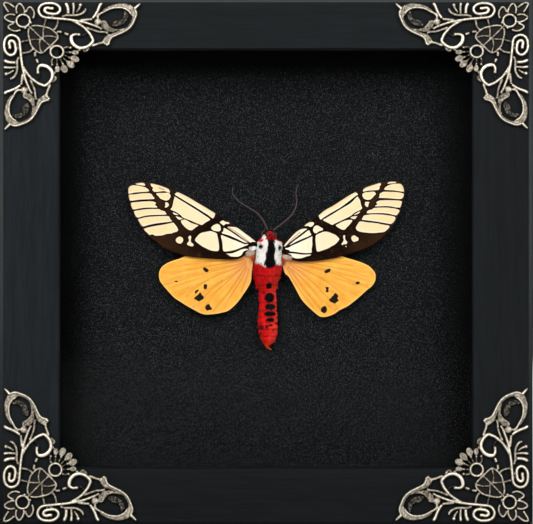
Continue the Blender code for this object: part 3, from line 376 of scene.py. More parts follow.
# width at each end, height of the crest as a share of the full height, points
STROKES = [
    (3.3, 2.7, 1.0, [(49.5, 7), (47, 7), (44, 6.4), (41.8, 7), (41, 9), (43, 11.5), (47, 12.5), (52, 12.7),
                     (55, 11), (56.2, 7.5), (54, 4), (50, 1.9), (45, 1.5), (40, 2.4), (36.7, 4.7),
                     (35.2, 8), (35.7, 11.5), (38, 14.8), (41, 16.3), (47, 17), (54, 17.7), (60, 18.2),
                     (66, 19), (72, 20)]),
    (2.7, 2.0, 0.95, [(72, 20), (78, 21.2), (84, 23), (90, 25.3), (94, 27), (97, 29)]),
    (2.0, 2.4, 0.85, [(58, 15.5), (62, 14.3), (66, 14.2), (71, 14.2), (76, 13), (80, 10), (81, 8)]),
    (3.5, 3.0, 0.95, [(62, 2.2), (63.3, 5), (64, 9), (64, 12.5)]),
    (2.9, 1.9, 0.95, [(69, 2), (69.4, 6), (69, 12.5)]),
    (2.6, 1.5, 0.9, [(76, 3.4), (75, 6.5), (72, 11)]),
    (2.3, 2.3, 0.9, [(76, 19.4), (79, 19), (87.5, 18.3)]),
    (2.6, 3.3, 1.0, [(88, 17.4), (91, 13), (93, 9), (95, 4), (96.3, 2)]),
    (2.3, 3.9, 0.95, [(68, 20), (72, 22), (76, 24.5), (80, 27.5), (83, 31), (86, 35), (87.5, 38.5),
                      (88.3, 41), (86.5, 44), (83, 47), (79, 48.5), (75, 48.5), (71, 46.5), (68, 43),
                      (66.9, 39.5)]),
    (3.9, 2.4, 0.95, [(66.9, 39.5), (67.3, 36.4), (70, 34.5), (74.5, 34.5)]),
    (1.9, 1.7, 0.8, [(78.5, 49.5), (80, 52), (83.5, 50), (85, 46)]),
    (1.6, 1.6, 0.6, [(74, 35.4), (76.5, 36), (82, 33)]),
    (2.0, 2.0, 0.85, [(82, 27), (88, 29.5), (94, 31.5), (100, 32), (103, 33)]),
    (2.0, 2.2, 1.0, [(93, 18.4), (93.5, 14.5), (100, 10), (106, 7), (112, 6), (117, 6.3), (121, 8),
                     (124, 10.5), (125.5, 13)]),
    (1.4, 1.7, 0.75, [(98, 9), (104, 5), (110, 3), (117, 2.2), (124, 3.6), (128, 6)]),
    (3.2, 1.8, 1.0, [(128.6, 7.4), (132, 4.2), (134.2, 2)]),
    (2.3, 2.3, 1.0, [(128.6, 7), (130.5, 12), (129, 18), (125, 26), (119, 31), (112, 34.5), (106, 38),
                     (104, 42), (103.4, 45)]),
    (1.4, 1.5, 0.75, [(125.5, 13), (127, 16), (126, 20), (124, 24), (120, 28), (114, 31), (108, 33.5),
                      (103, 35), (100, 38), (98, 41)]),
    (2.2, 2.0, 0.95, [(98, 41), (100, 43.8), (102, 46)]),
    (2.3, 2.3, 0.9, [(99, 43), (95, 43.5), (91, 45), (88, 46), (85.5, 44.5)]),
    (1.5, 1.3, 0.85, [(110, 29.5), (115, 29.2), (119, 28)]),
    (1.9, 1.5, 0.85, [(94, 23), (99.3, 20.5), (102, 24), (106, 28), (110, 29.5)]),
    (1.4, 1.4, 0.8, [(98.5, 21.5), (97, 24), (99, 28), (103, 30.5), (108, 31.3)]),
    (2.0, 1.7, 0.75, [(42.2, 16.6), (41.4, 21), (40, 26)]),
    (1.9, 2.1, 0.8, [(54, 18), (53.5, 23), (52, 27), (49.5, 29.8)]),
    (2.4, 2.4, 0.85, [(53, 31.4), (57.8, 31.8)]),
    (1.4, 1.4, 0.5, [(57.5, 31.8), (60.5, 33)]),
    (2.5, 2.5, 0.85, [(60.3, 33), (64.3, 34.6)]),
    (1.6, 1.6, 0.6, [(64, 34.5), (67, 36)]),
    (1.7, 1.7, 0.8, [(40, 26.2), (39.6, 31), (39.6, 38.6)]),
    (1.7, 1.7, 0.8, [(39.6, 36.6), (46, 36), (53, 37.6)]),
    (1.9, 1.7, 0.75, [(58, 50), (62, 47.8), (66, 48.3)]),
    (1.6, 1.6, 0.7, [(59, 52.7), (65.4, 53.2)]),
    (1.6, 1.6, 0.7, [(58.6, 55.4), (65, 58.5)]),
    (1.6, 1.6, 0.55, [(66, 53.3), (69, 53.7)]),
    (1.6, 1.6, 0.55, [(65.4, 58.7), (68.5, 60)]),
]
MIDDLE_STROKES = [
    (1.8, 1.7, 0.85, [(26, 26), (36, 36.4), (47, 47)]),
    (1.6, 1.6, 0.7, [(57.5, 57.3), (62.5, 62.3)]),
    (1.6, 1.6, 0.55, [(63, 62.8), (65.5, 65.2)]),
]


@dataclass(frozen=True)
class FrontView:
    """Where the camera stands, and how its pixels fall on planes behind the frame's face.

    Attributes:
        width: pixels across the picture.
        height: pixels down the picture.
        middle: the pixel that the frame's middle falls on.
        distance: from the camera to the frame's face.
        pixel: how much of the face one pixel covers.
        face: the face's place on the depth axis.
        middle_z: the frame's mid height.
    """

    width: float = 533.0
    height: float = 524.0
    middle: Point = (266.0, 261.9)
    distance: float = 1000.0
    pixel: float = 150.0 / 534.0
    face: float = -14.4
    middle_z: float = 74.1

    def place(self, pixels: Any, depth: Any) -> np.ndarray:
        """Give the places, in metres, that pixels fall on at a depth behind the face.

        Args:
            pixels: one or more pairs of pixels.
            depth: one depth, or one for each pair.

        Returns:
            The same count of places, three numbers each.
        """
        pixels = np.asarray(pixels, float)
        depth = np.broadcast_to(np.asarray(depth, float), pixels.shape[:-1])
        size = self.pixel * (1 + depth / self.distance)
        x = (pixels[..., 0] - self.middle[0]) * size
        z = self.middle_z - (pixels[..., 1] - self.middle[1]) * size
        return np.stack([x, self.face + depth, z], axis=-1) * MM


VIEW = FrontView()
MAT_DEPTH = 21.9


# Drawing aids


def smooth_line(points: Sequence[Sequence[float]], steps: int, closed: bool) -> np.ndarray:
    """Give a smooth line through points.

    Args:
        points: the points, with any count of numbers each.
        steps: how many pieces each length between two points is cut into.
        closed: whether the line comes back to its first point.

    Returns:
        The line's points in order.
    """
    knots = np.asarray(points, float)
    count = len(knots)
    spans = count if closed else count - 1
    shares = np.linspace(0, 1, steps, endpoint=False)[:, None]
    lengths = []
    for i in range(spans):
        if closed:
            a, b, c, d = (knots[(i + k) % count] for k in (-1, 0, 1, 2))
        else:
            a, b, c, d = (knots[min(max(i + k, 0), count - 1)] for k in (-1, 0, 1, 2))
        lengths.append(0.5 * (2 * b + (c - a) * shares + (2 * a - 5 * b + 4 * c - d) * shares**2
                              + (3 * b - a - 3 * c + d) * shares**3))
    line = np.concatenate(lengths)
    return line if closed else np.vstack([line, knots[-1:]])


def even_line(line: np.ndarray, spacing: float) -> np.ndarray:
    """Give a closed line's points again at an even spacing.

    Args:
        line: the closed line's points.
        spacing: the distance wanted between two of them.

    Returns:
        The evenly spaced points.
    """
    ring = np.vstack([line, line[:1]])
    run = np.concatenate([[0], np.cumsum(np.linalg.norm(np.diff(ring, axis=0), axis=1))])
    stops = np.linspace(0, run[-1], max(int(run[-1] / spacing), 3), endpoint=False)
    return np.stack([np.interp(stops, run, ring[:, k]) for k in range(ring.shape[1])], axis=1)


def oval(middle: Point, long: float, short: float, turn: float) -> list[Point]:
    """Give twelve points round an oval.

    Args:
        middle: its middle.
        long: its long radius.
        short: its short radius.
        turn: the way of its long radius, in degrees.

    Returns:
        The points in order.
    """
    lean = math.radians(turn)
    points = []
    for k in range(12):
        angle = k * math.tau / 12
        a, b = long * math.cos(angle), short * math.sin(angle)
        points.append((middle[0] + a * math.cos(lean) - b * math.sin(lean),
                       middle[1] + a * math.sin(lean) + b * math.cos(lean)))
    return points


def stroke_distance(places: np.ndarray, line: np.ndarray) -> np.ndarray:
    """Give each place's distance to an open line.

    Args:
        places: pairs of numbers.
        line: the line's points.

    Returns:
        One distance for each place.
    """
    nearest = np.full(len(places), 1e9)
    for start, end in zip(line, line[1:]):
        along = end - start
        share = np.clip((places - start) @ along / max(along @ along, 1e-12), 0, 1)
        nearest = np.minimum(nearest, np.linalg.norm(places - start - share[:, None] * along, axis=1))
    return nearest


def patch_depth(places: np.ndarray, outline: np.ndarray) -> np.ndarray:
    """Give how far each place lies inside a closed outline, less than nought outside it.

    Args:
        places: pairs of numbers.
        outline: the outline's points.

    Returns:
        One distance for each place.
    """
    ring = np.vstack([outline, outline[:1]])
    inside = np.zeros(len(places), bool)
    for (ax, ay), (bx, by) in zip(ring, ring[1:]):
        spans = (ay > places[:, 1]) != (by > places[:, 1])
        if ay != by:
            inside ^= spans & (places[:, 0] < (bx - ax) * (places[:, 1] - ay) / (by - ay) + ax)
    return np.where(inside, 1, -1) * stroke_distance(places, ring)


def nearby(places: np.ndarray, outline: np.ndarray, margin: float) -> np.ndarray:
    """Tell which places are within a margin of an outline's bounds."""
    low = outline.min(axis=0) - margin
    high = outline.max(axis=0) + margin
    return ((places >= low) & (places <= high)).all(axis=1)


# Meshes and finishes


def deselect() -> None:
    """Leave object mode with nothing selected."""
    if bpy.context.object and bpy.context.object.mode != "OBJECT":
        bpy.ops.object.mode_set(mode="OBJECT")
    bpy.ops.object.select_all(action="DESELECT")


def choose(*pieces: bpy.types.Object) -> None:
    """Select pieces, and make the first of them active."""
    deselect()
    for piece in pieces:
        piece.select_set(True)
    bpy.context.view_layer.objects.active = pieces[0]


def new_piece(name: str, points: np.ndarray, faces: Iterable[Sequence[int]]) -> bpy.types.Object:
    """Make an object from points and faces.

    Args:
        name: the object's name.
        points: places in metres.
        faces: the points of each face.

    Returns:
        The object, linked to the scene.
    """
    mesh = bpy.data.meshes.new(name)
    mesh.from_pydata([tuple(point) for point in points], [], [tuple(face) for face in faces])
    piece = bpy.data.objects.new(name, mesh)
    bpy.context.scene.collection.objects.link(piece)
    return piece


def modify(piece: bpy.types.Object, kind: str, **settings: Any) -> None:
    """Add a modifier to a piece and apply it."""
    modifier = piece.modifiers.new(kind.lower(), kind)
    for key, value in settings.items():
        setattr(modifier, key, value)
    choose(piece)
    bpy.ops.object.modifier_apply(modifier=modifier.name)


def ring_faces(rings: int, count: int) -> list[list[int]]:
    """Give the faces of a closed skin over rings of points.

    Args:
        rings: how many rings there are.
        count: how many points each has.

    Returns:
        The quads between the rings, and the two ends.
    """
    faces = []
    for low in range(0, (rings - 1) * count, count):
        for here in range(count):
            after = (here + 1) % count
            faces.append([low + here, low + after, low + count + after, low + count + here])
    return faces + [list(range(count)), list(range((rings - 1) * count, rings * count))]


def places_of(piece: bpy.types.Object) -> np.ndarray:
    """Give a piece's points, three numbers each."""
    places = np.empty(len(piece.data.vertices) * 3)
    piece.data.vertices.foreach_get("co", places)
    return places.reshape(-1, 3)


def carry(piece: bpy.types.Object, name: str, values: np.ndarray, kind: str = "FLOAT") -> None:
    """Store a number, a vector or a colour at each of a piece's points."""
    entry = {"FLOAT": "value", "FLOAT_VECTOR": "vector", "FLOAT_COLOR": "color"}[kind]
    piece.data.attributes.new(name, kind, "POINT").data.foreach_set(entry, np.ravel(values))


def face_outward(piece: bpy.types.Object) -> None:
    """Turn a piece's faces outwards."""
    choose(piece)
    bpy.ops.object.mode_set(mode="EDIT")
    bpy.ops.mesh.select_all(action="SELECT")
    bpy.ops.mesh.normals_make_consistent(inside=False)
    bpy.ops.object.mode_set(mode="OBJECT")


def join(name: str, pieces: Sequence[bpy.types.Object]) -> bpy.types.Object:
    """Join pieces into the first of them and name it."""
    choose(*pieces)
    if len(pieces) > 1:
        bpy.ops.object.join()
    joined = bpy.context.view_layer.objects.active
    joined.name = name
    joined.data.name = name
    return joined


def smooth(piece: bpy.types.Object) -> None:
    """Shade a piece smooth all over."""
    choose(piece)
    bpy.ops.object.shade_smooth()


def settle(piece: bpy.types.Object, nodes: Sequence[str],
           material: bpy.types.Material) -> None:
    """Give a finished piece its material, its body, and the nodes that it stands for."""
    piece.data.materials.clear()
    piece.data.materials.append(material)
    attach(piece, BODY)
    if nodes:
        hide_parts(*nodes)
    LOG.info("%s: %d faces", piece.name, len(piece.data.polygons))


class Number:
    """A number that varies over a surface, with arithmetic that adds Math nodes.

    Attributes:
        tree: the node tree that it belongs to.
        socket: the output that carries it.
    """

    def __init__(self, tree: bpy.types.NodeTree, socket: bpy.types.NodeSocket) -> None:
        """Wrap a node's output."""
        self.tree = tree
        self.socket = socket

    def _math(self, operation: str, *terms: "Number | float") -> "Number":
        """Add a Math node over terms and wrap its result."""
        node = self.tree.nodes.new("ShaderNodeMath")
        node.operation = operation
        for entry, term in zip(node.inputs, terms):
            feed(self.tree, entry, term)
        return Number(self.tree, node.outputs[0])

    def __add__(self, other: "Number | float") -> "Number":
        """Add."""
        return self._math("ADD", self, other)

    def __sub__(self, other: "Number | float") -> "Number":
        """Take away."""
        return self._math("SUBTRACT", self, other)

    def __rsub__(self, other: float) -> "Number":
        """Take away from a plain number."""
        return self._math("SUBTRACT", other, self)

    def __mul__(self, other: "Number | float") -> "Number":
        """Multiply."""
        return self._math("MULTIPLY", self, other)

    __radd__ = __add__
    __rmul__ = __mul__

    def size(self) -> "Number":
        """Give the number without its sign."""
        return self._math("ABSOLUTE", self)

    def most(self, other: "Number | float") -> "Number":
        """Give the greater of two numbers."""
        return self._math("MAXIMUM", self, other)

    def rise(self, low: float, high: float) -> "Number":
        """Give nought below low, one above high and a smooth step between."""
        node = self.tree.nodes.new("ShaderNodeMapRange")
        node.interpolation_type = "SMOOTHSTEP"
        feed(self.tree, node.inputs["Value"], self)
        node.inputs["From Min"].default_value = low
        node.inputs["From Max"].default_value = high
        return Number(self.tree, node.outputs[0])


def feed(tree: bpy.types.NodeTree, entry: bpy.types.NodeSocket, value: Any) -> None:
    """Link or set one input of a node."""
    if isinstance(value, Number):
        tree.links.new(value.socket, entry)
    elif isinstance(value, bpy.types.NodeSocket):
        tree.links.new(value, entry)
    elif isinstance(value, tuple) and len(value) == 3 and entry.type == "RGBA":
        entry.default_value = (*value, 1.0)
    else:
        entry.default_value = value


class Dressing:
    """Builds one material's nodes.

    Attributes:
        material: the material.
        tree: its node tree.
        surface: the shader that everything feeds.
    """

    def __init__(self, name: str, **constants: Any) -> None:
        """Start a material, with the shader values that are the same all over it."""
        self.material = bpy.data.materials.new(name)
        self.material.use_nodes = True
        self.tree = self.material.node_tree
        self.surface = self.tree.nodes["Principled BSDF"]
        for label, value in constants.items():
            feed(self.tree, self.surface.inputs[label.replace("_", " ")], value)

    def node(self, kind: str, settings: dict[str, Any] | None = None,
             inputs: dict[Any, Any] | None = None, output: Any = 0) -> bpy.types.NodeSocket:
        """Add a node.

        Args:
            kind: the node's type.
            settings: properties set before anything is linked.
            inputs: values or links of its inputs, by name or number.
            output: the output to give back, by name or number.

        Returns:
            That output.
        """
        made = self.tree.nodes.new(kind)
        for key, value in (settings or {}).items():
            setattr(made, key, value)
        for key, value in (inputs or {}).items():
            feed(self.tree, made.inputs[key], value)
        return made.outputs[output]

    def position(self, stretch: Colour = (1, 1, 1)) -> bpy.types.NodeSocket:
        """Give the object's own coordinates in metres, stretched along its axes."""
        place = self.node("ShaderNodeTexCoord", output="Object")
        return self.node("ShaderNodeMapping", inputs={"Vector": place, "Scale": stretch})

    def attribute(self, name: str) -> Number:
        """Give a number that the mesh carries at its points."""
        found = self.node("ShaderNodeAttribute", {"attribute_name": name}, output="Fac")
        return Number(self.tree, found)

    def colour_attribute(self, name: str) -> bpy.types.NodeSocket:
        """Give a colour that the mesh carries at its points."""
        return self.node("ShaderNodeAttribute", {"attribute_name": name}, output="Color")

    def noise(self, scale: float, where: Any = None, detail: float = 2.0, rough: float = 0.5) -> Number:
        """Give a soft noise around a half, with a scale in patches per metre."""
        inputs = {"Vector": where or self.position(), "Scale": scale, "Detail": detail,
                  "Roughness": rough}
        return Number(self.tree, self.node("ShaderNodeTexNoise", inputs=inputs))

    def along(self, axis: str) -> Number:
        """Give how far a point lies along an axis, in millimetres."""
        split = self.node("ShaderNodeSeparateXYZ", inputs={0: self.position()}, output=axis)
        return Number(self.tree, split) * (1 / MM)

    def blend(self, share: Any, first: Any, second: Any) -> bpy.types.NodeSocket:
        """Mix two colours."""
        return self.node("ShaderNodeMix", {"data_type": "RGBA"}, {0: share, 6: first, 7: second}, 2)

    def scaled(self, colour: Any, factor: Number) -> bpy.types.NodeSocket:
        """Multiply a colour by a number."""
        return self.node("ShaderNodeVectorMath", {"operation": "SCALE"}, {0: colour, "Scale": factor})

    def bump(self, height: Number, distance: float, strength: float = 1.0) -> None:
        """Raise the surface by a height, for shading alone."""
        normal = self.node("ShaderNodeBump", inputs={"Height": height, "Distance": distance,
                                                     "Strength": strength})
        feed(self.tree, self.surface.inputs["Normal"], normal)

    def wear(self, **varying: Any) -> bpy.types.Material:
        """Feed what changes over the surface and give the material back."""
        for label, value in varying.items():
            feed(self.tree, self.surface.inputs[label.replace("_", " ")], value)
        return self.material


class Grain(Enum):
    """Which way a length of wood runs."""

    LEVEL = (0.05, 1.0, 1.0)
    UPRIGHT = (1.0, 1.0, 0.05)


@dataclass(frozen=True)
class StainedWood:
    """Black stain over fine open grain, satin and slightly blue.

    Attributes:
        grain: the way that the wood runs.
        tone: the stain's colour.
        worn: the colour of the grain's ridges.
        rubbed: the colour of the outer arris, where the stain is rubbed.
        chamfer: how deep the outer arris goes.
        edge: the frame's half width and half height, less the arris.
    """

    grain: Grain
    tone: Colour = (0.0041, 0.0054, 0.0063)
    worn: Colour = (0.0093, 0.0113, 0.0128)
    rubbed: Colour = (0.0372, 0.0393, 0.0402)
    chamfer: float = 1.12
    edge: Point = (73.9, 73.0)

    def material(self) -> bpy.types.Material:
        """Make the material."""
        look = Dressing(f"black_stain_{self.grain.name.lower()}", Specular_IOR_Level=0.05)
        along = look.position(self.grain.value)
        fine = look.noise(2600, along, 3.0, 0.6)
        broad = look.noise(420, along, 2.0)
        blotch = look.noise(60, None, 2.0)
        ridge = (fine * 0.6 + broad * 0.4).rise(0.36, 0.66)
        colour = look.blend(ridge * 0.75 + blotch * 0.2, self.tone, self.worn)
        across = look.along("X")
        up = look.along("Z") - VIEW.middle_z
        outside = (across.size() - self.edge[0]).most(up.size() - self.edge[1])
        behind = look.along("Y") - VIEW.face
        wear = outside.rise(-0.15, 0.1) * (1 - behind.rise(0.8, self.chamfer + 0.2))
        wear = wear * up.rise(-72, 20)
        right, below, above = (side.rise(40, 66) for side in (across, 0 - up, up))
        deeper = (right * 0.35).most(below * 0.5).most(above * 0.25)
        colour = look.scaled(colour, 1 - deeper)
        colour = look.blend(wear * (0.55 + fine * 0.8), colour, self.rubbed)
        look.bump(fine * 0.7 + broad, 0.00006, 0.5)
        return look.wear(Base_Color=colour, Roughness=0.52 + ridge * 0.12)


@dataclass(frozen=True)
class PebbledBoard:
    """Black mat board with a fine leather-like pebble, darkest where the frame kept the light off.

    Attributes:
        low: the colour between the pebbles.
        high: the colour of the pebbles.
        fleck: the colour of the few pebbles that shine.
        fading: how much paler the open middle is than the dye at the edges.
    """

    low: Colour = (0.0011, 0.0013, 0.0015)
    high: Colour = (0.0070, 0.0081, 0.0086)
    fleck: Colour = (0.060, 0.0645, 0.067)
    fading: float = 0.88

    def material(self) -> bpy.types.Material:
        """Make the material."""
        look = Dressing("black_pebbled_board", Specular_IOR_Level=0.045, Roughness=0.8)
        pebble = look.noise(3200, None, 2.0, 0.6)
        second = look.noise(4600, look.position((1, 1, 1.15)), 1.0)
        grain = (pebble * 0.7 + second * 0.3).rise(0.43, 0.60)
        bright = (second * 0.7 + pebble * 0.3).rise(0.57, 0.67)
        look.bump(pebble + second * 0.4, 0.00012, 0.8)
        body = look.blend(bright * 0.85, look.blend(grain, self.low, self.high), self.fleck)
        across = look.along("X")
        up = look.along("Z") - VIEW.middle_z
        sides = (0 - across).rise(48.5, 57.5).most(across.rise(46.5, 59))
        kept = sides.most(up.rise(50.5, 57.5)).most((0 - up).rise(15, 60) * 0.35)
        return look.wear(Base_Color=look.scaled(body, 1 - kept * self.fading))


@dataclass(frozen=True)
class ClearGlass:
    """Picture glass, seen only by its thin reflections."""

    film: float = 0.03

    def material(self) -> bpy.types.Material:
        """Make the material."""
        look = Dressing("clear_picture_glass", Base_Color=(0.93, 0.97, 0.95), Roughness=0.02,
                        Transmission_Weight=1.0, IOR=1.46, Alpha=self.film)
        return look.material


@dataclass(frozen=True)
class BlackCard:
    """Matt black card with a faint fibre."""

    tone: Colour = (0.009, 0.0095, 0.010)

    def material(self) -> bpy.types.Material:
        """Make the material."""
        look = Dressing("black_card", Roughness=0.9, Specular_IOR_Level=0.2)
        fibre = look.noise(1500, look.position((1, 0.2, 1)), 3.0, 0.7)
        look.bump(fibre, 0.00004, 0.4)
        return look.wear(Base_Color=look.blend(fibre, self.tone, (0.018, 0.018, 0.019)))


@dataclass(frozen=True)
class Hardboard:
    """Pressed brown fibre board, smooth with darker flecks."""

    light: Colour = (0.235, 0.142, 0.078)
    dark: Colour = (0.125, 0.070, 0.036)

    def material(self) -> bpy.types.Material:
        """Make the material."""
        look = Dressing("brown_hardboard", Specular_IOR_Level=0.35)
        fibre = look.noise(900, None, 6.0, 0.75)
        cloud = look.noise(45, None, 3.0)
        fleck = look.noise(2600, None, 1.0).rise(0.62, 0.74)
        body = look.blend(fibre * 0.6 + cloud * 0.5, self.dark, self.light)
        colour = look.blend(fleck * 0.55, body, (0.06, 0.033, 0.018))
        look.bump(fibre, 0.00005, 0.5)
        return look.wear(Base_Color=colour, Roughness=0.55 + fibre * 0.2)


@dataclass(frozen=True)
class AntiquePewter:
    """Cast pewter, rubbed bright on its crests and blackened in its recesses.

    Attributes:
        bright: the rubbed metal.
        warm: the metal where a little patina is left.
        black: the patina in the recesses.
        foot: how far out from the face the patina is full.
        crest: how far out the metal is bright.
    """

    bright: Colour = (0.70, 0.645, 0.535)
    warm: Colour = (0.19, 0.162, 0.122)
    black: Colour = (0.0055, 0.005, 0.0043)
    foot: float = 0.95
    crest: float = 1.40

    def material(self) -> bpy.types.Material:
        """Make the material."""
        look = Dressing("antique_pewter", Specular_IOR_Level=0.1)
        mottle = look.noise(1500, None, 3.0, 0.65)
        pit = look.noise(4200, None, 2.0)
        out = (VIEW.face - look.along("Y")) + (mottle - 0.5)
        facing = look.attribute("facing") + (mottle - 0.5) * 0.25
        rubbed = out.rise(self.foot, self.crest) * facing.rise(0.34, 0.80)
        polished = out.rise(1.18, 1.90) * facing.rise(0.80, 1.0)
        metal = look.blend(polished, self.warm, self.bright)
        look.bump(mottle + pit * 0.4, 0.00006, 0.6)
        return look.wear(Base_Color=look.blend(rubbed, self.black, metal),
                         Metallic=0.2 + polished * 0.5,
                         Roughness=0.58 - polished * 0.2 + (pit - 0.5) * 0.15)


@dataclass(frozen=True)
class ZincPlate:
    """Zinc-plated steel with a crystalline cloudiness."""

    tone: Colour = (0.60, 0.61, 0.60)

    def material(self) -> bpy.types.Material:
        """Make the material."""
        look = Dressing("zinc_plate", Metallic=0.95)
        cloud = look.noise(700, None, 4.0, 0.6)
        scratch = look.noise(3000, look.position((1, 1, 0.08)), 2.0)
        look.bump(scratch, 0.00002, 0.35)
        return look.wear(Base_Color=look.blend(cloud, (0.42, 0.43, 0.43), self.tone),
                         Roughness=0.28 + cloud * 0.2)


@dataclass(frozen=True)
class ForewingScales:
    """Cream cells in a network of blackish brown, all in fine scales.

    Attributes:
        cream: the cells' colour.
        warm: the cells towards the wing tip and along their middles.
        pale: the cells' edges.
        white: the cells near the body.
        brown: the network.
        light_brown: the network towards the wing tip.
        sooty: the network where it meets a cell.
        tan: thin bare veins and the wing's outer edge.
    """

    cream: Colour = (0.6202, 0.5112, 0.331)
    warm: Colour = (0.615, 0.470, 0.248)
    pale: Colour = (0.6369, 0.5489, 0.4442)
    white: Colour = (0.7258, 0.6782, 0.6048)
    brown: Colour = (0.006, 0.0022, 0.0009)
    light_brown: Colour = (0.0242, 0.0102, 0.0039)
    sooty: Colour = (0.0035, 0.0019, 0.0013)
    tan: Colour = (0.311, 0.1642, 0.0691)

    def material(self) -> bpy.types.Material:
        """Make the material."""
        look = Dressing("forewing_scales", Specular_IOR_Level=0.02, Roughness=0.8)
        cell = look.attribute("cell")
        shade = look.attribute("warmth")
        ragged = look.noise(2600, None, 2.0) - 0.5
        cloud = look.noise(260, None, 3.0)
        scale = look.noise(7000, None, 2.0)
        edge = cell + ragged * 0.35
        body = look.blend((shade + (cloud - 0.5) * 1.2).rise(0.2, 1.0), self.cream, self.warm)
        field = look.blend((1 - edge.rise(0.4, 2.0)) * 0.6, body, self.pale)
        field = look.blend((1 - shade.rise(-0.3, 0.3)) * 0.75, field, self.white)
        flush = look.noise(430, look.position((0.35, 1, 1)), 3.0).rise(0.52, 0.68) * 0.3
        field = look.blend(flush, field, (0.63, 0.465, 0.31))
        field = look.blend(look.attribute("tan").rise(-0.5, 0.25), field, self.tan)
        net = look.blend((shade + (cloud - 0.5) * 0.6).rise(0.3, 0.95), self.brown, self.light_brown)
        net = look.blend((0 - cell).rise(0.4, 2.2), self.sooty, net)
        net = look.blend(look.noise(900, None, 3.0).rise(0.56, 0.78) * 0.25, net, (0.075, 0.042, 0.026))
        colour = look.blend(edge.rise(-0.22, 0.30), net, field)
        rim = (1 - look.attribute("rim").rise(0.2, 1.1)) * edge.rise(-2.0, 1.0) * 0.5
        colour = look.blend(rim, colour, self.tan)
        look.bump(scale + cloud, 0.00003, 0.4)
        return look.wear(Base_Color=look.scaled(colour, 0.94 + scale * 0.12))


@dataclass(frozen=True)
class HindwingScales:
    """Amber scales with radiating folds, darker towards the root, and black spots."""

    amber: Colour = (0.5695, 0.2385, 0.0231)
    light: Colour = (0.6674, 0.3515, 0.0641)
    fringe: Colour = (0.6763, 0.396, 0.1068)
    rosy: Colour = (0.5518, 0.2447, 0.1023)
    crease: Colour = (0.3738, 0.1157, 0.0178)
    spot: Colour = (0.0075, 0.0055, 0.0045)

    def material(self) -> bpy.types.Material:
        """Make the material."""
        look = Dressing("hindwing_scales", Specular_IOR_Level=0.05, Roughness=0.75)
        fan = look.node("ShaderNodeAttribute", {"attribute_name": "fan"}, output="Vector")
        streak = look.noise(1.0, fan, 3.0, 0.65)
        fine = look.noise(3.4, fan, 2.0)
        cloud = look.noise(240, None, 3.0)
        scale = look.noise(7000, None, 2.0)
        root = look.attribute("warmth")
        rim = look.attribute("rim")
        fold = look.attribute("fold") + (streak - 0.5) * 1.6
        ground = (streak * 0.45 + fine * 0.25 + cloud * 0.3).rise(0.38, 0.62)
        field = look.blend(ground, self.amber, self.light)
        field = look.blend((root + (streak - 0.5) * 0.7).rise(0.35, 1.0) * 0.75, field, self.rosy)
        field = look.blend(fold.rise(-0.8, 0.45) * (0.32 + root * 0.45), field, self.crease)
        line = (1 - (fine - 0.5).size().rise(0.004, 0.03)) * (streak.rise(0.40, 0.62) * 0.5)
        field = look.blend(line, field, self.crease)
        field = look.blend((1 - rim.rise(0.2, 2.6)) * 0.7, field, self.fringe)
        ragged = (look.noise(2400, None, 2.0) - 0.5) * 0.9
        mark = (look.attribute("cell") + ragged).rise(-0.3, 0.35)
        spot = look.blend(scale.rise(0.5, 0.75) * 0.5, self.spot, (0.05, 0.028, 0.015))
        grey = look.attribute("speck").rise(0.0, 0.9) * 0.6
        field = look.blend(grey, field, (0.20, 0.145, 0.11))
        look.bump(scale * 0.4 + streak, 0.00005, 0.5)
        return look.wear(Base_Color=look.scaled(look.blend(mark, field, spot), 0.95 + scale * 0.1))


@dataclass(frozen=True)
class Hair:
    """Moth hair and skin, coloured by what each strand carries."""

    name: str
    rough: float = 0.62

    def material(self) -> bpy.types.Material:
        """Make the material."""
        look = Dressing(self.name, Specular_IOR_Level=0.08, Roughness=self.rough)
        fine = look.noise(2600, None, 2.0)
        colour = look.scaled(look.colour_attribute("coat"), 0.94 + fine * 0.12)
        return look.wear(Base_Color=colour)


@dataclass(frozen=True)
class Horn:
    """Dull brown horn of antennae and legs."""

    dark: Colour = (0.020, 0.013, 0.012)
    light: Colour = (0.062, 0.038, 0.032)

    def material(self) -> bpy.types.Material:
        """Make the material."""
        look = Dressing("brown_horn", Roughness=0.6, Specular_IOR_Level=0.2)
        ring = look.noise(2200, None, 2.0)
        look.bump(ring, 0.00003, 0.6)
        return look.wear(Base_Color=look.blend(ring, self.dark, self.light))


# Sub-assemblies


class Corner(Enum):
    """A corner of the frame: its side, its end, and the ornament's reach along each."""

    TOP_LEFT = (-1, 1, 138.0, 128.0)
    TOP_RIGHT = (1, 1, 134.0, 127.0)
    BOTTOM_LEFT = (-1, -1, 134.0, 134.0)
    BOTTOM_RIGHT = (1, -1, 134.0, 134.0)


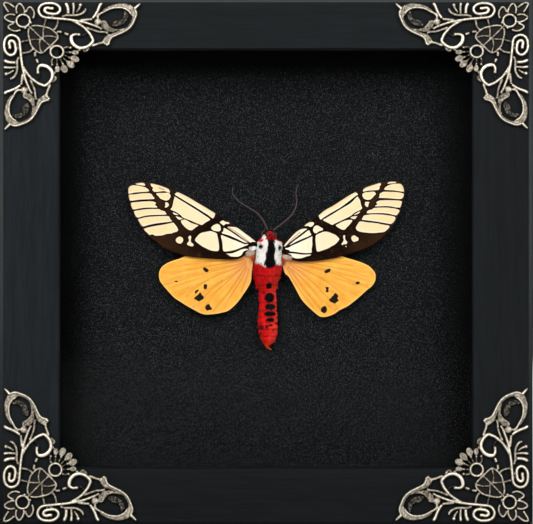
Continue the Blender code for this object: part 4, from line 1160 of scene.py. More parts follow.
@dataclass
class ShadowBox:
    """The frame, glazing, mat and back, with their hardware.

    Attributes:
        rails: the level lengths of the frame.
        stiles: the upright lengths of the frame.
        outer: the frame's half width and half height.
        opening: the opening's half width, and its reach up and down from the frame's middle.
        section: the wood's section, a hair smaller, as a share of its width and a depth.
        glue: half the thickness of the glue in a mitre.
    """

    rails: tuple[str, ...] = ("frame_top_rail", "frame_bottom_rail")
    stiles: tuple[str, ...] = ("frame_left_stile", "frame_right_stile")
    outer: Point = (75.0, 74.1)
    opening: tuple[float, float, float] = (58.0, 59.75, 57.8)
    section: tuple[Point, ...] = ((0.069, 0.05), (0.975, 0.05), (0.997, 0.43), (0.997, 2.95),
                                  (0.703, 2.95), (0.703, 28.15), (0.008, 28.15), (0.008, 1.25))
    glue: float = 0.09

    def _glue_lines(self, material: bpy.types.Material) -> None:
        """Fill each mitre with its thin line of dark glue."""
        half_width, above, below = self.opening
        for corner in Corner:
            side, up, _, _ = corner.value
            outer = np.array([side * self.outer[0], up * self.outer[1]])
            line = np.array([side * half_width, above if up > 0 else -below]) - outer
            aside = np.array([-line[1], line[0]]) / math.hypot(*line) * self.glue
            points = []
            for edge in (-aside, aside):
                for share, depth in self.section:
                    x, z = outer + line * share + edge
                    points.append((x, VIEW.face + depth, VIEW.middle_z + z))
            seam = new_piece(f"mitre_glue_{corner.name.lower()}", np.array(points) * MM,
                             ring_faces(2, len(self.section)))
            face_outward(seam)
            settle(seam, [], material)

    def build(self) -> None:
        """Dress the box's pieces."""
        spacers = [f"spacer_{side}" for side in ("left", "right", "top", "bottom")]
        starts = ("turn_button", "screw", "hanger", "sawtooth")
        steel = [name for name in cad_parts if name.startswith(starts)]
        for names, finish in (
            (self.rails, StainedWood(Grain.LEVEL)),
            (self.stiles, StainedWood(Grain.UPRIGHT)),
            (("glass_pane",), ClearGlass()),
            (spacers, BlackCard()),
            (("backing_mat",), PebbledBoard()),
            (("back_panel",), Hardboard()),
            (steel, ZincPlate()),
        ):
            material = finish.material()
            for name in names:
                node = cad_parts[name]
                node.data.materials.clear()
                node.data.materials.append(material)
                LOG.info("%s: %s", name, material.name)
        self._glue_lines(bpy.data.materials["black_stain_upright"])


@dataclass
class CornerOrnaments:
    """The four cast ornaments, modelled once and fitted to each corner.

    Attributes:
        reach: drawing units from the face's corner to a leaf's tip.
        corner: where the face's corner is, across and up from the frame's middle.
        foot: how far the casting stands off the face at its back.
        crest: how far its highest crests stand off the face.
        floor: how far the recessed plates stand off the face.
        lobe: how far the lobes' plates stand off the face.
        unit: how much of the face one drawing unit covers.
        fullness: a stroke's radius, as a share of its drawn width.
        slope: drawing units that a stroke's side rises over.
        code: drawing units that stand for a full crest while the strokes are joined.
        code_step: the step that such a coded height is read back in.
        grid: the spacing that the joined strokes are remeshed at.
        thinned: the share of the remeshed faces that is kept.
    """

    reach: float = 135.0
    corner: Point = (73.88, 72.98)
    foot: float = 0.32
    crest: float = 1.88
    floor: float = 0.75
    lobe: float = 1.32
    unit: float = VIEW.pixel * 0.99
    fullness: float = 0.64
    slope: float = 2.1
    code: float = 100.0
    code_step: float = 5.0
    grid: float = 0.125
    thinned: float = 0.60

    def _strokes(self) -> bpy.types.Object:
        """Make every rim, ring and stroke as one tube object, in drawing units."""
        curve = bpy.data.curves.new("strokes", "CURVE")
        curve.dimensions = "3D"
        curve.bevel_depth = 1.0
        curve.bevel_resolution = 4
        curve.resolution_u = 5
        curve.use_fill_caps = True
        both = [(a, b, top, points) for a, b, top, points in STROKES]
        both += [(1.9, 1.9, 0.95, petal) for petal in PETALS_HALF]
        both += [(1.9, 1.8, 0.9, HEART_OUTLINE)]
        mirrored = [(a, b, top, [(v, u) for u, v in points]) for a, b, top, points in both]
        middle_strokes = MIDDLE_STROKES + [(1.9, 1.9, 0.95, PETAL_MIDDLE)]
        for width, end, top, points in both + mirrored + middle_strokes:
            self._spline(curve, points, width, end, top, False)
        for middle, radius, width in RINGS:
            self._spline(curve, oval(middle, radius, radius, 0), width, width, 1.0, True)
        for lobe in self._lobes():
            self._spline(curve, lobe, 1.6, 1.6, 0.9, True)
        made = bpy.data.objects.new("strokes", curve)
        bpy.context.scene.collection.objects.link(made)
        choose(made)
        bpy.ops.object.convert(target="MESH")
        return bpy.context.view_layer.objects.active

    def _spline(self, curve: bpy.types.Curve, points: Sequence[Point], width: float, end: float,
                top: float, closed: bool) -> None:
        """Add one smooth stroke, whose height is carried by its centre line."""
        spline = curve.splines.new("BEZIER")
        spline.bezier_points.add(len(points) - 1)
        spline.use_cyclic_u = closed
        last = max(len(points) - 1, 1)
        for i, (knot, (u, v)) in enumerate(zip(spline.bezier_points, points)):
            knot.co = (u, v, top * self.code)
            knot.handle_left_type = "AUTO"
            knot.handle_right_type = "AUTO"
            knot.radius = (width + (end - width) * i / last) * self.fullness

    def _lobes(self) -> list[list[Point]]:
        """Give the outlines of the five lobes beyond the second ring."""
        half = [oval(*lobe) for lobe in LOBES_HALF]
        return half + [[(v, u) for u, v in lobe] for lobe in half] + [oval(*LOBE_MIDDLE)]

    def _knobs(self) -> list[bpy.types.Object]:
        """Make the round knobs as balls at their coded heights."""
        places = KNOBS_HALF + [(v, u, radius, top) for u, v, radius, top in KNOBS_HALF] + KNOBS_MIDDLE
        knobs = []
        for u, v, radius, top in places:
            deselect()
            bpy.ops.mesh.primitive_uv_sphere_add(segments=16, ring_count=8,
                                                 location=(u, v, top * self.code),
                                                 scale=(radius, radius, 1.9))
            bpy.ops.object.transform_apply(location=True, rotation=True, scale=True)
            knobs.append(bpy.context.object)
        return knobs

    def _raise(self, piece: bpy.types.Object) -> None:
        """Turn the strokes' coded heights into crests that stand on the face."""
        places = places_of(piece)
        level = np.round(places[:, 2] / self.code_step) * self.code_step
        swell = (places[:, 2] - level) / self.slope
        crest = self.foot + (self.crest - self.foot) * level / self.code
        middle = (crest + self.foot) / 2
        places[:, 2] = (middle + np.clip(swell, -1, 1) * (crest - self.foot) / 2) / self.unit
        piece.data.vertices.foreach_set("co", places.ravel())
        piece.data.update()

    def _plates(self) -> list[bpy.types.Object]:
        """Make the thin recessed plates inside the petals, the heart and the leaves."""
        heart = HEART_OUTLINE + [(v, u) for u, v in reversed(HEART_OUTLINE)]
        outlines = [(self.floor, PETAL_MIDDLE + [(14, 14)]), (self.floor, heart)]
        for level, outline in [(self.floor, half + [(22, 16)]) for half in PETALS_HALF] + LEAF_PLATES:
            outlines += [(level, outline), (level, [(v, u) for u, v in outline])]
        outlines += [(self.lobe, lobe) for lobe in self._lobes()]
        plates = []
        for top, outline in outlines:
            line = smooth_line(outline, 3, True)
            count = len(line)
            levels = (self.foot / self.unit, top / self.unit)
            points = np.vstack([np.column_stack([line, np.full(count, level)]) for level in levels])
            plate = new_piece("plate", points, ring_faces(2, count))
            face_outward(plate)
            plates.append(plate)
        return plates

    def build(self) -> None:
        """Make the casting once and fit a copy to each corner."""
        strokes = join("strokes", [self._strokes(), *self._knobs()])
        self._raise(strokes)
        casting = join("casting", [strokes, *self._plates()])
        modify(casting, "REMESH", mode="VOXEL", voxel_size=self.grid / self.unit, use_smooth_shade=True)
        modify(casting, "SMOOTH", factor=0.5, iterations=3)
        modify(casting, "DECIMATE", ratio=self.thinned)
        places = places_of(casting)
        normals = np.empty(places.size)
        casting.data.vertex_normals.foreach_get("vector", normals)
        carry(casting, "facing", np.clip(normals[2::3], 0, 1))
        material = AntiquePewter().material()
        for corner in Corner:
            side, up, reach_u, reach_v = corner.value
            x = side * (self.corner[0] - places[:, 0] * VIEW.pixel * reach_u / self.reach)
            z = VIEW.middle_z + up * (self.corner[1] - places[:, 1] * VIEW.pixel * reach_v / self.reach)
            y = VIEW.face - np.clip(places[:, 2] * self.unit, self.foot, self.crest)
            mesh = casting.data.copy()
            mesh.vertices.foreach_set("co", (np.stack([x, y, z], axis=1) * MM).ravel())
            name = f"corner_ornament_{corner.name.lower()}"
            fitted = bpy.data.objects.new(f"{name}_cast", mesh)
            mesh.name = fitted.name
            bpy.context.scene.collection.objects.link(fitted)
            face_outward(fitted)
            smooth(fitted)
            settle(fitted, [name], material)
        bpy.data.objects.remove(casting)


@dataclass
class WingPlan:
    """What one wing is drawn from.

    Attributes:
        node: the wing's name.
        outline: its edge.
        cells: its cream cells, or its black spots.
        height: how far its root lies above the mat.
        root: the pixel that its folds spread from.
        veins: dark lines over the cells, as a width and points.
        tans: thin bare veins.
        folds: folds of a hindwing.
        specks: small grey smudges, as a place and a radius.
    """

    node: str
    outline: Sequence[Point]
    cells: Sequence[Sequence[Point]]
    height: float
    root: Point
    veins: Sequence[tuple[float, Sequence[Point]]] = ()
    tans: Sequence[tuple[float, Sequence[Point]]] = ()
    folds: Sequence[tuple[float, Sequence[Point]]] = ()
    specks: Sequence[tuple[float, float, float]] = ()


@dataclass
class Wings:
    """The four wings: thin membranes, drawn in pixels and laid above the mat.

    Attributes:
        spacing: pixels between two points of a membrane.
        thickness: the membrane's thickness.
        droop: how much nearer the mat a wing's tip is than its root.
        span: the length that the droop is spread over.
        far: pixels from the root to the tip.
        near: pixels from a patch or stroke beyond which its distance isn't followed.
        ripple: how high the fan of folds stands.
        crease: how deep the drawn folds are.
        quilt: how high the membrane swells between its cells.
        arch: how high a forewing arches along its length.
    """

    spacing: float = 0.62
    thickness: float = 0.16
    droop: float = 1.1
    span: float = 40.0
    far: float = 130.0
    near: float = 4.0
    ripple: float = 0.11
    crease: float = 0.16
    quilt: float = 0.10
    arch: float = 0.175

    def _plans(self) -> list[WingPlan]:
        """Give the four wings' plans."""
        return [
            WingPlan("hindwing_left", LEFT_HINDWING, LEFT_SPOTS, 3.7, (253, 259), folds=LEFT_FOLDS,
                     specks=LEFT_SPECKS),
            WingPlan("hindwing_right", RIGHT_HINDWING, RIGHT_SPOTS, 3.7, (283, 259), folds=RIGHT_FOLDS,
                     specks=RIGHT_SPECKS),
            WingPlan("forewing_left", LEFT_FOREWING, LEFT_CELLS, 4.5, (256, 245), LEFT_VEINS,
                     LEFT_TAN_VEINS),
            WingPlan("forewing_right", RIGHT_FOREWING, RIGHT_CELLS, 4.5, (283, 247), RIGHT_VEINS,
                     RIGHT_TAN_VEINS),
        ]

    def _flat_mesh(self, plan: WingPlan) -> tuple[np.ndarray, list[list[int]], np.ndarray]:
        """Fill a wing's outline with even triangles.

        Args:
            plan: the wing.

        Returns:
            The points in pixels, the triangles, and each point's distance from the edge.
        """
        edge = even_line(smooth_line(plan.outline, 6, True), self.spacing)
        low, high = edge.min(axis=0), edge.max(axis=0)
        across = np.arange(low[0], high[0], self.spacing)
        down = np.arange(low[1], high[1], self.spacing * 0.87)
        grid = np.array([(x + (row % 2) * self.spacing / 2, y)
                         for row, y in enumerate(down) for x in across])
        grid = grid[patch_depth(grid, edge) > self.spacing * 0.55]
        points = np.vstack([edge, grid])
        loop = [(i, (i + 1) % len(edge)) for i in range(len(edge))]
        flat, _, faces, _, _, _ = delaunay_2d_cdt([Vector(point) for point in points], loop, [], 1, 1e-6)
        flat = np.array([tuple(point) for point in flat])
        return flat, faces, np.maximum(patch_depth(flat, edge), 0)

    def _patches(self, flat: np.ndarray, outlines: Sequence[Sequence[Point]]) -> np.ndarray:
        """Give how far each point lies inside the nearest of some patches."""
        deepest = np.full(len(flat), -self.near)
        for outline in outlines:
            line = smooth_line(outline, 3, True)
            near = nearby(flat, line, self.near)
            deepest[near] = np.maximum(deepest[near], patch_depth(flat[near], line))
        return deepest

    def _strokes(self, flat: np.ndarray, strokes: Sequence[tuple[float, Sequence[Point]]]) -> np.ndarray:
        """Give how far each point lies inside the nearest of some strokes."""
        deepest = np.full(len(flat), -self.near)
        for width, points in strokes:
            line = smooth_line(points, 4, False)
            near = nearby(flat, line, self.near)
            deepest[near] = np.maximum(deepest[near], width / 2 - stroke_distance(flat[near], line))
        return deepest

    def _make(self, plan: WingPlan) -> None:
        """Make and dress one wing."""
        flat, faces, rim = self._flat_mesh(plan)
        cell = self._patches(flat, plan.cells)
        cell = np.minimum(cell, -self._strokes(flat, plan.veins))
        fold = self._strokes(flat, plan.folds)
        away = flat - np.array(plan.root)
        far = np.hypot(away[:, 0], away[:, 1]) / self.far
        turn = np.arctan2(away[:, 1], np.abs(away[:, 0]))
        share = np.abs(flat[:, 0] - VIEW.middle[0]) * VIEW.pixel / self.span
        height = plan.height - self.droop * share**2
        if plan.folds:
            swing = np.sin(turn * 11 + far * 5) * 2
            ripple = np.sin(turn * 46 + swing) * 0.5 + np.sin(turn * 81 + 1 - swing) * 0.3
            height += self.ripple * np.clip(far * 3, 0, 1) * ripple * np.clip(rim / 6, 0.25, 1)
            height -= self.crease * np.exp(-np.clip(-fold, 0, self.near) ** 2 / 0.8)
            warmth = np.clip(1 - far * 2.1, 0, 1)
        else:
            height += self.quilt * np.clip(-cell / 1.2, -1, 1)
            height += self.arch * np.sin(np.clip(far * 3.2, 0, math.pi))
            warmth = np.clip(far * 1.25 - 0.15, -0.2, 1)
        points = VIEW.place(flat, MAT_DEPTH - height)
        wing = new_piece(f"{plan.node}_membrane", points, faces)
        specks = np.zeros(len(flat))
        for x, y, radius in plan.specks:
            specks = np.maximum(specks, 1.4 - np.hypot(flat[:, 0] - x, flat[:, 1] - y) / radius)
        values = {"cell": cell, "rim": rim, "warmth": warmth, "fold": fold, "speck": specks,
                  "tan": self._strokes(flat, plan.tans)}
        for name, value in values.items():
            carry(wing, name, value)
        carry(wing, "fan", np.column_stack([turn * 46, far * 2.6, np.zeros(len(flat))]), "FLOAT_VECTOR")
        face_outward(wing)
        modify(wing, "SOLIDIFY", thickness=self.thickness * MM, offset=0.0)
        smooth(wing)
        slot = "hindwing_scales" if plan.folds else "forewing_scales"
        settle(wing, [plan.node], self.finishes[slot])

    def build(self) -> None:
        """Make the four wings."""
        self.finishes = {"hindwing_scales": HindwingScales().material(),
                         "forewing_scales": ForewingScales().material()}
        for plan in self._plans():
            self._make(plan)


class Coat:
    """Colours of the moth's hair."""

    WHITE: Colour = (0.98, 0.945, 0.870)
    VERMILION: Colour = (0.97, 0.070, 0.044)
    GREY: Colour = (0.42, 0.42, 0.41)
    BLACK: Colour = (0.0032, 0.0026, 0.0026)
    DEEP_RED: Colour = (0.72, 0.0035, 0.0065)
    SCARLET: Colour = (0.72, 0.020, 0.017)
    ORANGE: Colour = (0.52, 0.054, 0.006)
    MAROON: Colour = (0.135, 0.005, 0.005)
    HEAD_RED: Colour = (0.32, 0.004, 0.006)
    BEIGE: Colour = (0.64, 0.48, 0.36)
    RUST: Colour = (0.48, 0.060, 0.026)


@dataclass(frozen=True)
class Tuft:
    """A lock of hair over a wing's root.

    Attributes:
        middle: its middle in the front view.
        reach: how far it goes across and down.
        height: how far it lies above the mat.
        way: the way that its hairs lie, across and down.
        colour: its colour.
        count: how many hairs it has.
    """

    middle: Point
    reach: Point
    height: float
    way: Point
    colour: Colour
    count: int


# colour, middle across and down, reach across and down
HEAD_MARKS = (
    (Coat.SCARLET, 261.2, 240.6, 2.3, 1.6),
    (Coat.GREY, 275.4, 234.9, 2.1, 1.5),
    (Coat.BLACK, 274.6, 235.4, 1.5, 1.0),
    (Coat.BLACK, 268.2, 234.9, 2.2, 1.0),
    (Coat.GREY, 268.3, 234.7, 0.8, 0.4),
    (Coat.BLACK, 271.3, 238.6, 0.8, 0.8),
)
TUFTS = (
    Tuft((254.0, 243.4), (2.4, 1.6), 6.1, (-0.8, 0.5), Coat.BLACK, 260),
    Tuft((254.8, 247.9), (2.3, 1.7), 6.0, (-1.0, 0.3), Coat.WHITE, 420),
    Tuft((251.8, 251.8), (3.4, 2.4), 5.3, (-0.9, 0.9), Coat.BEIGE, 520),
    Tuft((253.8, 256.0), (1.3, 3.6), 5.2, (-0.2, 1.0), Coat.RUST, 300),
    Tuft((285.6, 256.2), (3.4, 1.5), 5.4, (0.9, 0.55), Coat.BEIGE, 400),
    Tuft((282.8, 259.0), (0.8, 3.6), 5.2, (0.2, 1.0), Coat.RUST, 220),
)
# pixels down the view of the creases between segments
SEAMS = (275.5, 284.5, 291.5, 302.6, 310.8, 317.6, 323, 329.5, 336.5)


@dataclass
class MothBody:
    """Head, thorax and abdomen with their hair, and the folded legs.

    Attributes:
        sides: points round the skin.
        steps: rings between two stations.
        strand: a hair's radius at its root.
        thick: how many pixels the hair adds on each side.
        waist: how much narrower the body is at a seam.
        leg: a leg's radius at the root, what it loses by the foot, and the swell of its joints.
        seed: what the hairs' scatter starts from.
    """

    sides: int = 56
    steps: int = 12
    strand: float = 0.042
    thick: float = 1.35
    waist: float = 0.07
    leg: tuple[float, float, float] = (0.30, 0.13, 0.05)
    seed: int = 7

    def _surface(self, share: np.ndarray, angle: np.ndarray) -> tuple[np.ndarray, np.ndarray]:
        """Give points of the body's skin.

        Args:
            share: how far down the body each point is, from nought to one.
            angle: how far round it, with a quarter turn nearest the glass.

        Returns:
            The points in metres, and their pixels in the front view.
        """
        rings = smooth_line(BODY_STATIONS, self.steps, False)
        spot = share * (len(rings) - 1)
        y, left, right, low, high = (np.interp(spot, np.arange(len(rings)), row) for row in rings.T)
        waist = np.zeros_like(y)
        for seam in SEAMS:
            waist = np.maximum(waist, np.exp(-((y - seam) / 0.9) ** 2))
        half = (right - left) / 2
        half = (half - np.minimum(self.thick, half * 0.32)) * (1 - self.waist * waist)
        rise = (high - low) / 2
        rise = (rise - np.minimum(0.3, rise * 0.3)) * (1 - self.waist * waist)
        x = (left + right) / 2 + np.cos(angle) * half
        height = (high + low) / 2 + np.sin(angle) * rise
        pixels = np.stack([x, y], axis=-1)
        return VIEW.place(pixels, MAT_DEPTH - height), pixels

    def _colours(self, pixels: np.ndarray) -> np.ndarray:
        """Give the hair's colour at pixels of the front view.

        Args:
            pixels: pairs of pixels.

        Returns:
            Three numbers for each.
        """
        x, y = pixels[:, 0], pixels[:, 1]

        def mix(base: np.ndarray, colour: Colour, share: np.ndarray) -> np.ndarray:
            """Blend a colour over others."""
            share = np.clip(share, 0, 1)[:, None]
            return base * (1 - share) + np.array(colour) * share

        colour = np.tile(np.array(Coat.DEEP_RED), (len(x), 1))
        middle = 267.8 + (y > 290) * 0.2
        colour = mix(colour, Coat.VERMILION, (x - middle + 1.5) / 8 * np.clip((y - 264) / 24, 0.25, 1))
        colour = mix(colour, Coat.SCARLET, (y > 264) * 0.35)
        colour = mix(colour, Coat.MAROON, (1 - np.hypot((x - 261.5) / 3.6, (y - 327) / 3.4)) * 2)
        for seam in SEAMS:
            colour = mix(colour, Coat.MAROON, 0.55 * np.exp(-((y - seam) / 0.7) ** 2))
        flank = np.clip((y - 333) / 8, 0, 1) * ((262.5 - x) / 2 + 0.5)
        colour = mix(colour, Coat.ORANGE, np.maximum((y - 342) / 4, flank))
        colour = mix(colour, Coat.HEAD_RED, y < 241)
        colour = mix(colour, Coat.SCARLET, (y < 234) * 0.45)
        for outline, tone in ((WHITE_LEFT, Coat.WHITE), (WHITE_RIGHT, Coat.WHITE),
                              (BLACK_STRIPE, Coat.BLACK)):
            inside = patch_depth(pixels, smooth_line(outline, 3, True))
            colour = mix(colour, tone, inside / 0.6 + 0.5)
        marks = [(0.5, Coat.BLACK, *spot) for spot in BLACK_SPOTS] + [(0.4, *mark) for mark in HEAD_MARKS]
        for edge, tone, cx, cy, rx, ry in marks:
            inside = (1 - np.hypot((x - cx) / rx, (y - cy) / ry)) * min(rx, ry)
            colour = mix(colour, tone, inside / edge + 0.5)
        return colour

    def _skin(self) -> bpy.types.Object:
        """Make the closed skin under the hair."""
        rows = (len(BODY_STATIONS) - 1) * self.steps + 1
        share, angle = np.meshgrid(np.linspace(0, 1, rows),
                                   np.linspace(0, math.tau, self.sides, endpoint=False), indexing="ij")
        points, pixels = self._surface(share.ravel(), angle.ravel())
        skin = new_piece("moth_skin", points, ring_faces(rows, self.sides))
        coat = np.column_stack([self._colours(pixels) * 0.92, np.ones(len(pixels))])
        carry(skin, "coat", coat, "FLOAT_COLOR")
        face_outward(skin)
        smooth(skin)
        return skin

    def _hairs(self, name: str, count: int, span: Point, length: Point, lift: float, spread: float,
               contrast: float, rng: np.random.Generator) -> bpy.types.Object:
        """Grow a coat of hair on part of the body.

        Args:
            name: the piece's name.
            count: how many hairs.
            span: the first and last pixel down the front view.
            length: the shortest and longest hair.
            lift: how far a hair stands off the skin, as a share of its length.
            spread: how far hairs lean away from the body's middle line.
            contrast: how much darker than the lightest lock the darkest is.
            rng: the scatter.

        Returns:
            The hair as one object.
        """
        rings = smooth_line(BODY_STATIONS, self.steps, False)
        locks = count // 9
        owner = rng.integers(locks, size=count)
        down = rng.uniform(*span, locks)[owner] + rng.normal(0, 0.5, count)
        share = np.interp(down, rings[:, 0], np.linspace(0, 1, len(rings)))
        angle = rng.uniform(-0.3, math.pi + 0.3, locks)[owner] + rng.normal(0, 0.06, count)
        roots, pixels = self._surface(share, angle)
        ahead, _ = self._surface(np.clip(share + 0.004, 0, 1), angle)
        beside, _ = self._surface(share, angle + 0.03)
        along = unit(ahead - roots)
        out = unit(np.cross(beside - roots, along))
        out *= np.sign((out * (roots - self._surface(share, angle + math.pi)[0])).sum(axis=1))[:, None]
        sway = rng.normal(0, 0.17, (locks, 3))[owner] + rng.normal(0, 0.07, (count, 3))
        lean = unit(along + spread * np.cos(angle)[:, None] * np.array([1.0, 0, 0]) + sway)
        size = rng.uniform(*length, count)[:, None] * MM
        shift = (lean * size * 0.55)[:, [0, 2]] * (1, -1) / (VIEW.pixel * MM)
        tone = (1.14 - contrast * rng.uniform(0, 1, locks)[owner]) * rng.uniform(0.9, 1.06, count)
        tint = self._colours(pixels + shift + rng.normal(0, 0.3, (count, 2))) * tone[:, None]
        return strands(name, roots, lean, out, size, lift, self.strand * MM, tint)

    def _tufts(self, rng: np.random.Generator) -> bpy.types.Object:
        """Grow the locks over the wings' roots as one object."""
        pieces = []
        for tuft in TUFTS:
            turn = rng.uniform(0, math.tau, tuft.count)
            reach = np.sqrt(rng.uniform(0, 1, tuft.count))[:, None]
            pixels = np.array(tuft.middle) + reach * np.array(tuft.reach) * np.stack(
                [np.cos(turn), np.sin(turn)], axis=1)
            roots = VIEW.place(pixels, MAT_DEPTH - tuft.height + 0.5 * reach[:, 0])
            way = np.array([tuft.way[0], 0.12, -tuft.way[1]])
            lean = unit(way + rng.normal(0, 0.22, (tuft.count, 3)))
            out = unit(np.tile([0.0, -1.0, 0.0], (tuft.count, 1)) - lean * -lean[:, 1:2])
            size = rng.uniform(0.7, 1.5, (tuft.count, 1)) * MM
            tint = np.array(tuft.colour) * rng.uniform(0.55, 1.1, (tuft.count, 1))
            pieces.append(strands("tuft", roots, lean, out, size, 0.2, self.strand * MM, tint))
        return join("moth_wing_root_hair", pieces)

    def build(self) -> None:
        """Make the body, its hair and its legs."""
        rng = np.random.default_rng(self.seed)
        skin = self._skin()
        settle(skin, ["moth_body"], Hair("moth_skin", 0.5).material())
        hair = Hair("moth_hair").material()
        coats = (
            ("moth_head_hair", 4200, (231.6, 240.0), (0.3, 0.55), 0.25, 0.05, 0.3),
            ("moth_thorax_hair", 11500, (238.0, 263.5), (0.8, 1.5), 0.14, 0.0, 0.12),
            ("moth_rump_hair", 12000, (260.0, 285.5), (0.7, 1.35), 0.34, -0.04, 0.62),
            ("moth_abdomen_hair", 12500, (283, 346.5), (0.35, 0.75), 0.2, -0.02, 0.4),
        )
        for name, count, span, length, lift, spread, contrast in coats:
            coat = self._hairs(name, count, span, length, lift, spread, contrast, rng)
            settle(coat, [], hair)
        settle(self._tufts(rng), [], hair)
        self._legs()

    def _legs(self) -> None:
        """Make the six folded legs as one piece."""
        legs = []
        for name, route in LEGS.items():
            line = smooth_line(route, 6, False)
            points = VIEW.place(line[:, :2], MAT_DEPTH - line[:, 2])
            shares = np.linspace(0, 1, len(points))
            root, loss, swell = self.leg
            radii = root - loss * shares + swell * np.cos(shares * math.tau * 3)
            legs.append(tube(f"leg_{name}", points, radii * MM, 10))
        piece = join("moth_legs", legs)
        smooth(piece)
        settle(piece, [], Horn().material())


def unit(vectors: np.ndarray) -> np.ndarray:
    """Scale vectors to a length of one."""
    return vectors / np.maximum(np.linalg.norm(vectors, axis=-1, keepdims=True), 1e-12)


def strands(name: str, roots: np.ndarray, lean: np.ndarray, out: np.ndarray, size: np.ndarray,
            lift: float, radius: float, tint: np.ndarray) -> bpy.types.Object:
    """Make hairs as thin three-sided spikes that bend back towards the skin.

    Args:
        name: the piece's name.
        roots: where each hair starts.
        lean: the way each hair lies.
        out: the way out of the skin.
        size: each hair's length.
        lift: how far it stands off, as a share of its length.
        radius: its radius at the root.
        tint: its colour.

    Returns:
        The hairs as one object.
    """
    count = len(roots)
    across = unit(np.cross(lean, out))
    rings = []
    for share, thick in ((0.0, 1.0), (0.4, 0.9), (0.75, 0.55)):
        middle = roots + size * (lean * share + out * lift * math.sin(share * 2.2))
        middle -= out * radius * (share == 0)
        for k in range(3):
            turn = -math.pi / 2 + k * math.tau / 3
            rings.append(middle + radius * thick * (across * math.cos(turn) + out * math.sin(turn)))
    rings.append(roots + size * (lean + out * lift * 0.72))
    points = np.stack(rings, axis=1).reshape(-1, 3)
    pattern = [(0, 2, 1)]
    for ring in (0, 3):
        pattern += [(ring + k, ring + (k + 1) % 3, ring + (k + 1) % 3 + 3, ring + k + 3)
                    for k in range(3)]
    pattern += [(6 + k, 6 + (k + 1) % 3, 9) for k in range(3)]
    faces = [tuple(corner + 10 * i for corner in face) for i in range(count) for face in pattern]
    piece = new_piece(name, points, faces)
    paint = np.clip(tint, 0, 0.99)[:, None, :] * np.array([0.88] * 3 + [1.0] * 7)[:, None]
    carry(piece, "coat", np.column_stack([paint.reshape(-1, 3), np.ones(count * 10)]), "FLOAT_COLOR")
    face_outward(piece)
    smooth(piece)
    return piece


def tube(name: str, points: np.ndarray, radii: np.ndarray, sides: int) -> bpy.types.Object:
    """Make a closed round tube along points.

    Args:
        name: the piece's name.
        points: the middle line, in metres.
        radii: the radius at each point.
        sides: how many points go round it.

    Returns:
        The tube.
    """
    along = unit(np.gradient(points, axis=0))
    across = unit(np.cross(along, np.array([0.0, 1.0, 0.0])))
    out = np.cross(across, along)
    turns = np.arange(sides) * math.tau / sides
    rings = [point + radius * (np.cos(turns)[:, None] * a + np.sin(turns)[:, None] * o)
             for point, radius, a, o in zip(points, radii, across, out)]
    piece = new_piece(name, np.concatenate(rings), ring_faces(len(points), sides))
    face_outward(piece)
    return piece


@dataclass
class Antennae:
    """The two thread-like antennae.

    Attributes:
        radius: at the head.
        taper: the share of the radius lost by the tip.
        bead: how much thicker and thinner it gets from one joint to the next.
        heights: above the mat at the head and at the tip.
    """

    radius: float = 0.26
    taper: float = 0.62
    bead: float = 0.08
    heights: Point = (4.6, 3.0)

    def build(self) -> None:
        """Make both antennae."""
        material = Horn().material()
        for name, route in ANTENNAE.items():
            line = smooth_line(route, 14, False)
            shares = np.linspace(0, 1, len(line))
            height = self.heights[0] + (self.heights[1] - self.heights[0]) * shares
            points = VIEW.place(line, MAT_DEPTH - height)
            beads = 1 + self.bead * np.cos(np.arange(len(line)) * math.pi)
            radii = self.radius * (1 - self.taper * shares) * beads
            piece = tube(f"{name}_thread", points, radii * MM, 12)
            smooth(piece)
            settle(piece, [name], material)


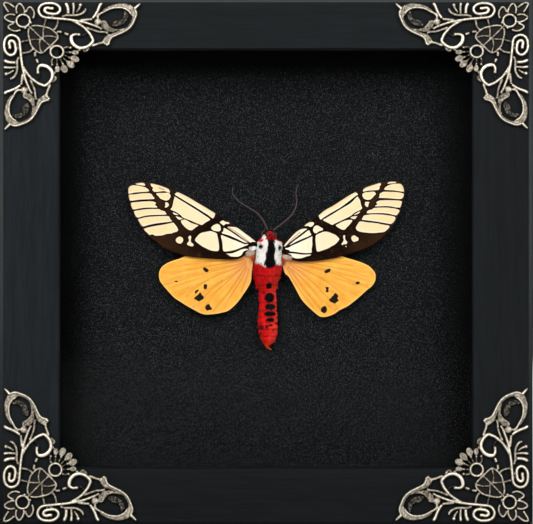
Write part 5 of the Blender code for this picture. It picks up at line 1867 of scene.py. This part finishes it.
@dataclass
class Studio:
    """The camera, the lights and the floor.

    Attributes:
        sensor: the camera's sensor width.
        lamps: each lamp's name, its place and size in metres, and its power in watts.
        sky: the colour of the light from all round.
        sky_strength: how strong that light is.
        floor_width: in metres.
    """

    sensor: float = 36.0
    lamps: tuple[tuple[str, Colour, float, float], ...] = (
        ("key_light", (-0.50, -1.25, 0.72), 0.8, 23.5),
        ("fill_light", (0.66, -1.18, 0.60), 0.7, 15.2),
        ("back_light", (0.5, 1.2, 0.8), 1.0, 16.0),
    )
    sky: Colour = (0.82, 0.84, 0.87)
    sky_strength: float = 0.04
    floor_width: float = 6.0

    def build(self) -> None:
        """Set the camera, the lights and the floor."""
        scene = bpy.context.scene
        scene.view_settings.view_transform = "Standard"
        across = (VIEW.width / 2 - VIEW.middle[0]) * VIEW.pixel
        up = VIEW.middle_z - (VIEW.height / 2 - VIEW.middle[1]) * VIEW.pixel
        deselect()
        bpy.ops.object.camera_add(location=(across * MM, (VIEW.face - VIEW.distance) * MM, up * MM),
                                  rotation=(math.pi / 2, 0, 0))
        camera = bpy.context.object
        camera.data.sensor_width = self.sensor
        camera.data.lens = self.sensor * VIEW.distance / (VIEW.width * VIEW.pixel)
        camera.data.clip_start = 0.01
        scene.camera = camera
        for lamp in self.lamps:
            self._lamp(*lamp)
        world = scene.world or bpy.data.worlds.new("studio")
        scene.world = world
        world.use_nodes = True
        background = world.node_tree.nodes["Background"]
        background.inputs["Color"].default_value = (*self.sky, 1)
        background.inputs["Strength"].default_value = self.sky_strength
        deselect()
        bpy.ops.mesh.primitive_plane_add(size=self.floor_width, location=(0, 0, 0))
        floor = bpy.context.object
        floor.name = "floor"
        look = Dressing("pale_floor", Base_Color=(0.72, 0.72, 0.71), Roughness=0.85)
        floor.data.materials.append(look.material)

    def _lamp(self, name: str, place: Colour, size: float, power: float) -> None:
        """Add one square soft light that faces the frame."""
        way = Vector((0, 0, VIEW.middle_z * MM)) - Vector(place)
        turn = way.to_track_quat("-Z", "Y").to_euler()
        bpy.ops.object.light_add(type="AREA", location=place, rotation=turn)
        lamp = bpy.context.object
        lamp.name = name
        lamp.data.size = size
        lamp.data.energy = power


def main() -> None:
    """Build the scene."""
    logging.basicConfig(level=logging.INFO, format="%(name)s %(message)s")
    for part in (Studio(), ShadowBox(), CornerOrnaments(), Wings(), MothBody(), Antennae()):
        part.build()
        LOG.info("%s done", type(part).__name__)


if __name__ == "__main__":
    main()
